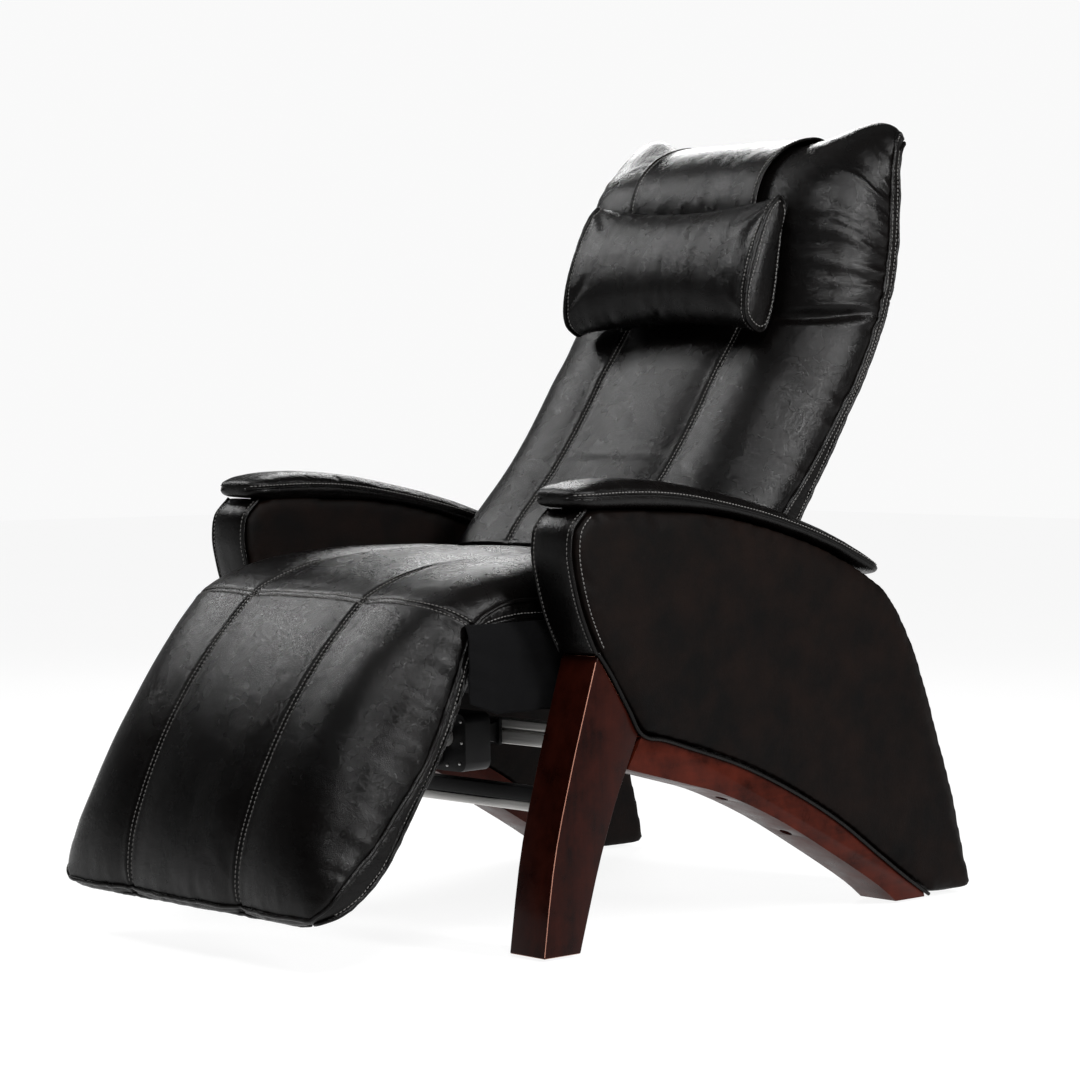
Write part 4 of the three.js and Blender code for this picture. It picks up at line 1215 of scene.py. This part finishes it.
def padded_panel(name, node, stay):
    """Padded leather over a CAD shape: rounded, remeshed, drawn in and blown up. stay(points) says what is pinned."""
    made = evaluated_copy(frame["nodes"][node], name, [
        ("BEVEL", {"width": 9 * MM, "segments": 4, "limit_method": "ANGLE", "angle_limit": math.radians(40)}),
        ("REMESH", {"mode": "VOXEL", "voxel_size": 7.5 * MM * 1}),
        ("SMOOTH", {"factor": 0.6, "iterations": 5}),
    ])
    mesh = made.data
    rest = mesh_points(mesh)
    normals = np.array([v.normal for v in mesh.vertices])
    pinned = stay(rest)
    rest = rest - normals * (2.6 * MM * (1 - pinned))[:, None]
    mesh.vertices.foreach_set("co", rest.ravel())
    rest = blown_up(made, rest, pinned, 3.0, 3.5 * MM, 0.004, 14, quality=4, bending_stiffness=0.6)
    mesh.vertices.foreach_set("co", rest.ravel())
    mesh.update()
    finer = made.modifiers.new("finer", "SUBSURF")
    finer.levels = finer.render_levels = 1
    graph = bpy.context.evaluated_depsgraph_get()
    smooth = bpy.data.meshes.new_from_object(made.evaluated_get(graph), depsgraph=graph)
    made.modifiers.clear()
    made.data = smooth
    smooth.name = name
    shade_smooth(smooth)
    return made


def shape_points(piece, change):
    """Moves a mesh's points: change(points, normals) returns the new ones."""
    mesh = piece.data
    normals = np.array([v.normal for v in mesh.vertices])
    mesh.vertices.foreach_set("co", change(mesh_points(mesh), normals).ravel())
    mesh.update()


ARM_OUTER = 385 * MM
ARM_FRONT = [(-225, 588), (-249, 563), (-253, 536), (-246, 496), (-233, 456), (-214, 417), (-204, 400)]
ARM_SEAM = [(-204, 400), (-180, 371), (-145, 320), (-119, 285), (-110, 281), (-85, 277), (-28, 261), (73, 230),
            (177, 187), (284, 132), (373, 75), (441, 32), (486, 6)]


def make_arm_panels():
    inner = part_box("left_arm_panel")[0].x

    def stay(points):
        deep = np.clip((points[:, 0] - inner) / (14 * MM), 0, 1)
        return np.where(deep < 0.5, 1.0, 0.0)

    panel = padded_panel("left_arm_panel_leather", "left_arm_panel", stay)

    def finish(points, normals):
        ripple = drift2(points[:, 1] / (95 * MM), points[:, 2] / (80 * MM), 141, 2)
        outer = np.clip((points[:, 0] - ARM_OUTER + 14 * MM) / (10 * MM), 0, 1)
        moved = points + normals * (outer * ripple * 0.9 * MM)[:, None]
        moved[:, 0] = np.clip(moved[:, 0], inner + 0.1 * MM, ARM_OUTER + 1.5 * MM)
        return moved

    shape_points(panel, finish)
    refinish(panel, "panel_leather")
    both_sides(panel, "arm_panel_leather", "arm_panel")
    front, _ = through([chair_point(*p) for p in ARM_FRONT], 5 * MM)
    seam, _ = through([chair_point(*p) for p in ARM_SEAM], 5 * MM)
    wood_line = np.stack([np.full(len(seam), ARM_OUTER - 6.5 * MM), seam[:, 0], seam[:, 1] + 0.4 * MM], 1)
    trim_both("arm_panel_piping", pipe_parts([wood_line], PIPE_R), "black_leather")
    line = np.stack([np.full(len(front), ARM_OUTER + 0.4 * MM), front[:, 0] + 8.5 * MM, front[:, 1]], 1)[2:-1]
    stitches = stitch_parts(line, np.tile([1.0, 0, 0], (len(line), 1)))
    trim_both("arm_panel_stitching", stitches, "seam_thread")


def make_arm_strips():
    """The padded strip down the front of each arm, piped on both sides."""
    front, _ = through([chair_point(*p) for p in ARM_FRONT], 5 * MM)
    ahead = unit(np.gradient(front, axis=0))
    out = np.stack([ahead[:, 1], -ahead[:, 0]], 1)
    if out[0, 0] > 0:
        out = -out
    low, high = 308.5 * MM, 378.5 * MM
    x = np.linspace(0, 1, 17)
    rings = []
    for i, point in enumerate(front):
        end = min(1, 0.35 + 0.65 * min(i, len(front) - 1 - i) / 4)
        ring = []
        for v in x:
            bulge = (1 - abs(2 * v - 1) ** 2.6) ** 0.6 if 0 < v < 1 else 0
            ring.append((low + (high - low) * v, *(point + out[i] * (2.0 + 5.6 * bulge * end) * MM)))
        ring += [(high - (high - low) * v, *(point + out[i] * 0.6 * MM)) for v in (0.0, 0.25, 0.5, 0.75, 1.0)]
        rings.append(ring)
    grid = refined(np.array(rings))
    normals = ring_normals(grid)
    run = along_run(grid)[:, None]
    push = np.zeros(grid.shape[:2])
    for k, column in enumerate((0, 32)):
        push += edge_gather(across_from(grid, column), run, 151 + k, 0.8 * MM, 14 * MM, 13 * MM)
    push[:, 33:] = 0
    grid = grid + normals * push[:, :, None]
    normals = ring_normals(grid)
    both_sides(closed_grid("arm_strip", grid, "black_leather"), "arm_strip_leather", "arm_front_strip")
    raised, stitches = grid + normals * 0.8 * MM, []
    for column, side in ((0, 1), (32, -1)):
        stitches += stitch_parts(*offset_line(grid, normals, range(2, len(grid) - 2), column, side * STITCH_AWAY))
    trim_both("arm_strip_piping", pipe_parts((raised[:, 0], raised[:, 32]), 2.6 * MM), "black_leather")
    trim_both("arm_strip_stitching", stitches, "seam_thread")


make_arm_pads()
make_arm_panels()
make_arm_strips()


# ---------------------------------------------------------------- shells and fabric under the seat

def make_leg_shell():
    def narrower(points, normals):
        behind = (KNEE - points[:, 1:]) @ np.array([-math.cos(LEG_LEAN), math.sin(LEG_LEAN)])
        points[:, 0] *= 1 - 0.092 * np.clip(behind / (28 * MM), 0, 1)
        return points

    dressed("leg_shell", "black_leather", 3.5, name="leg_rest_shell", change=narrower)


DUST_COVER = [(-292, 423), (-291, 404), (-288, 389), (-264, 364), (-236, 343), (-175, 329), (-110, 317), (-40, 315.5),
              (14, 316.5), (27, 321), (35, 338), (39, 368), (40, 400), (40.5, 423)]


def make_dust_cover():
    low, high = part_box("dust_cover")
    line, _ = through([chair_point(*p) for p in DUST_COVER], 9 * MM)
    ahead = unit(np.gradient(line, axis=0))
    out = np.stack([ahead[:, 1], -ahead[:, 0]], 1)
    x = np.linspace(low.x, high.x, 50)
    rows = len(line)
    run = np.arange(rows)[:, None] * 9 * MM
    sag = 2.2 * MM * drift2(x[None, :] / (46 * MM), run / (110 * MM), 161, 3)
    sag += 1.6 * MM * drift2(x[None, :] / (150 * MM), run / (26 * MM), 163, 2)
    ends = np.minimum(1, np.minimum(run, run[-1] - run) / (40 * MM))
    sag = sag * ends - 1.2 * MM
    sides = []
    for thick in (0.0, 1.1 * MM):
        sides.append(np.array([[(v, *(line[i] - out[i] * (thick - sag[i, j]))) for j, v in enumerate(x)]
                               for i in range(rows)]))
    grid = np.concatenate([sides[0], sides[1][:, ::-1]], axis=1)
    cover = closed_grid("seat_dust_cover", grid, "black_fabric")
    settle(cover, "seat", ("dust_cover",))


SKIRT = {"front": -350 * MM, "rear": -84 * MM, "top": 440 * MM, "deep": 118 * MM, "x": 296.4 * MM}


def make_skirts():
    """The black cloth that hangs from the seat's side edge over its rail."""
    columns, rows = 90, 36
    y = np.linspace(SKIRT["front"], SKIRT["rear"], columns)[None, :]
    down = np.linspace(0, 1, rows)[:, None]
    waves = 2.0 * MM * drift2(y / (30 * MM), down * 1.6, 171, 2) + 2.2 * MM * drift2(y / (85 * MM), down * 6, 173, 2)
    hang = np.clip(down * 4, 0, 1)
    gathered = bell(1 - down, 0.25)
    x = SKIRT["x"] + waves * hang - 9.0 * MM * (1 - hang) ** 2
    x = np.clip(x, 285.5 * MM + 7.6 * MM * hang, 299.5 * MM)
    hem = 3.0 * MM * drift(y / (55 * MM), 175) * gathered
    z = SKIRT["top"] - down * (SKIRT["deep"] * (0.86 + 0.14 * np.clip((y - SKIRT["front"]) / (50 * MM), 0, 1))) + hem
    outer = np.stack(np.broadcast_arrays(x, y, z), 2)
    inner = outer - np.array([0.9 * MM, 0, 0])
    grid = np.concatenate([outer, inner[:, ::-1]], axis=1)
    pair = both_sides(closed_grid("seat_skirt", grid, "black_fabric"), "seat_skirt", body="seat")


make_leg_shell()
make_dust_cover()
make_skirts()


# ---------------------------------------------------------------- wood, metal and plastic

for side in ("left", "right"):
    # The legs and arch rails get a painted highlight along their rounded edges.
    dressed(f"{side}_front_leg", "cherry_wood", 2.2, edge="cherry_edge_highlight")
    dressed(f"{side}_arch_rail", "cherry_wood_arch", 2.0, edge="cherry_edge_highlight")
    dressed(f"{side}_seat_rail", "black_steel", 1.5)
    dressed(f"{side}_pivot_bracket", "black_steel", 0.8, segments=2)
dressed("rear_cross_rail", "cherry_wood_rail", 2.5)
for node, finish, bevel in (
        ("front_cross_bar", "black_steel", 1.6), ("front_bar_trim", "aluminium", 1.2),
        ("upper_cross_rail", "aluminium", 1.0), ("control_box", "black_plastic", 2.2),
        ("actuator_gearbox", "black_plastic", 1.8), ("actuator_motor", "black_steel", 1.6),
        ("actuator_tube", "aluminium", 0.8), ("actuator_rod", "zinc_steel", 0.8)):
    dressed(node, finish, bevel)


def screws(name, body, centre, along, up, out, places, radius):
    """Round-headed screws with a cross slot on a flat face. places are (along, up) in millimetres from its centre."""
    parts = []
    for a, u in places:
        base = np.array(centre) + MM * (a * np.array(along) + u * np.array(up))
        for share, low, high in ((1.0, 0.0, 0.9), (0.82, 0.9, 1.5), (0.5, 1.5, 1.8)):
            line = [base + np.array(out) * h * MM for h in (low, high)]
            parts.append(tube_mesh(line, radius * share, 14, guide=np.tile(along, (2, 1))))
        for way in (along, up):
            way = np.array(way)
            line = [base + np.array(out) * 1.9 * MM + way * radius * k for k in (-0.34, 0.34)]
            parts.append(tube_mesh(line, 0.35 * MM, 4, guide=np.tile(out, (2, 1))))
    settle(joined(name, parts, "zinc_steel"), body)


RAM_AXIS = np.array(next(j["axis"] for j in frame["joints"] if j["name"] == "ram_extend"), float)
screws("gearbox_screws", "actuator", np.array([0, *PIVOT["actuator_swing"]]) + 64.1 * MM * RAM_AXIS, (1, 0, 0),
       (0, RAM_AXIS[2], -RAM_AXIS[1]), RAM_AXIS,
       [(-34, 24), (1, 24), (30, 22), (32, -8), (27, -38), (1, -42)], 2.4 * MM)

# The CAD pieces that still show take the finish of their slot.
for node, piece in frame["nodes"].items():
    if not piece.hide_render:
        wanted = piece.data.materials[0].name.split(".")[0] if piece.data.materials else "black_steel"
        for socket in piece.material_slots:
            socket.link = "OBJECT"
            socket.material = FINISH.get(wanted, FINISH["black_steel"])


# ---------------------------------------------------------------- floor and surroundings

BACKDROP = [(0.0, 0.95), (0.15, 0.95), (0.34, 0.20), (1.0, 0.10)]  # brightness by the direction's height
DIM_SURROUNDINGS = 0.3  # how much of the backdrop's brightness falls on the chair
FLOOR = {"half": 14, "z": -0.0005, "glow": 0.9}


def make_sky_panel():
    """A weak soft light straight above."""
    data = bpy.data.lights.new("sky_panel", "SUN")
    data.energy, data.angle = 0.25, math.radians(80)
    placed("sky_panel", data)


def make_floor():
    n = Nodes("pale_floor")
    shade = n.ramp(n.noise(1.2, 2.0), [(0.3, 0.10), (0.7, 0.115)])
    material = n.set(Base_Color=shade, Roughness=0.8, Emission_Color=(1.0, 1.0, 1.0, 1.0),
                     Emission_Strength=FLOOR["glow"])
    mesh = bpy.data.meshes.new("floor")
    corners = [(x * FLOOR["half"], y * FLOOR["half"], FLOOR["z"]) for x, y in ((-1, -1), (1, -1), (1, 1), (-1, 1))]
    mesh.from_pydata(corners, [], [(0, 1, 2, 3)])
    mesh.materials.append(material)
    placed("floor", mesh)


def make_surroundings():
    """A backdrop that is pale near the horizon and dark above, and dimmer for the chair than for the camera."""
    world = bpy.data.worlds.new("studio")
    world.use_nodes = True
    scene.world = world
    tree = world.node_tree
    background = tree.nodes["Background"]
    direction = tree.nodes.new("ShaderNodeTexCoord").outputs["Generated"]
    split = tree.nodes.new("ShaderNodeSeparateXYZ")
    tree.links.new(direction, split.inputs["Vector"])
    ramp = tree.nodes.new("ShaderNodeValToRGB")
    set_stops(ramp, BACKDROP)
    tree.links.new(split.outputs["Z"], ramp.inputs["Fac"])
    tree.links.new(ramp.outputs["Color"], background.inputs["Color"])
    seen = tree.nodes.new("ShaderNodeMath")
    seen.operation = "MULTIPLY_ADD"
    tree.links.new(tree.nodes.new("ShaderNodeLightPath").outputs["Is Camera Ray"], seen.inputs[0])
    seen.inputs[1].default_value, seen.inputs[2].default_value = 1 - DIM_SURROUNDINGS, DIM_SURROUNDINGS
    tree.links.new(seen.outputs[0], background.inputs["Strength"])


make_sky_panel()
make_floor()
make_surroundings()
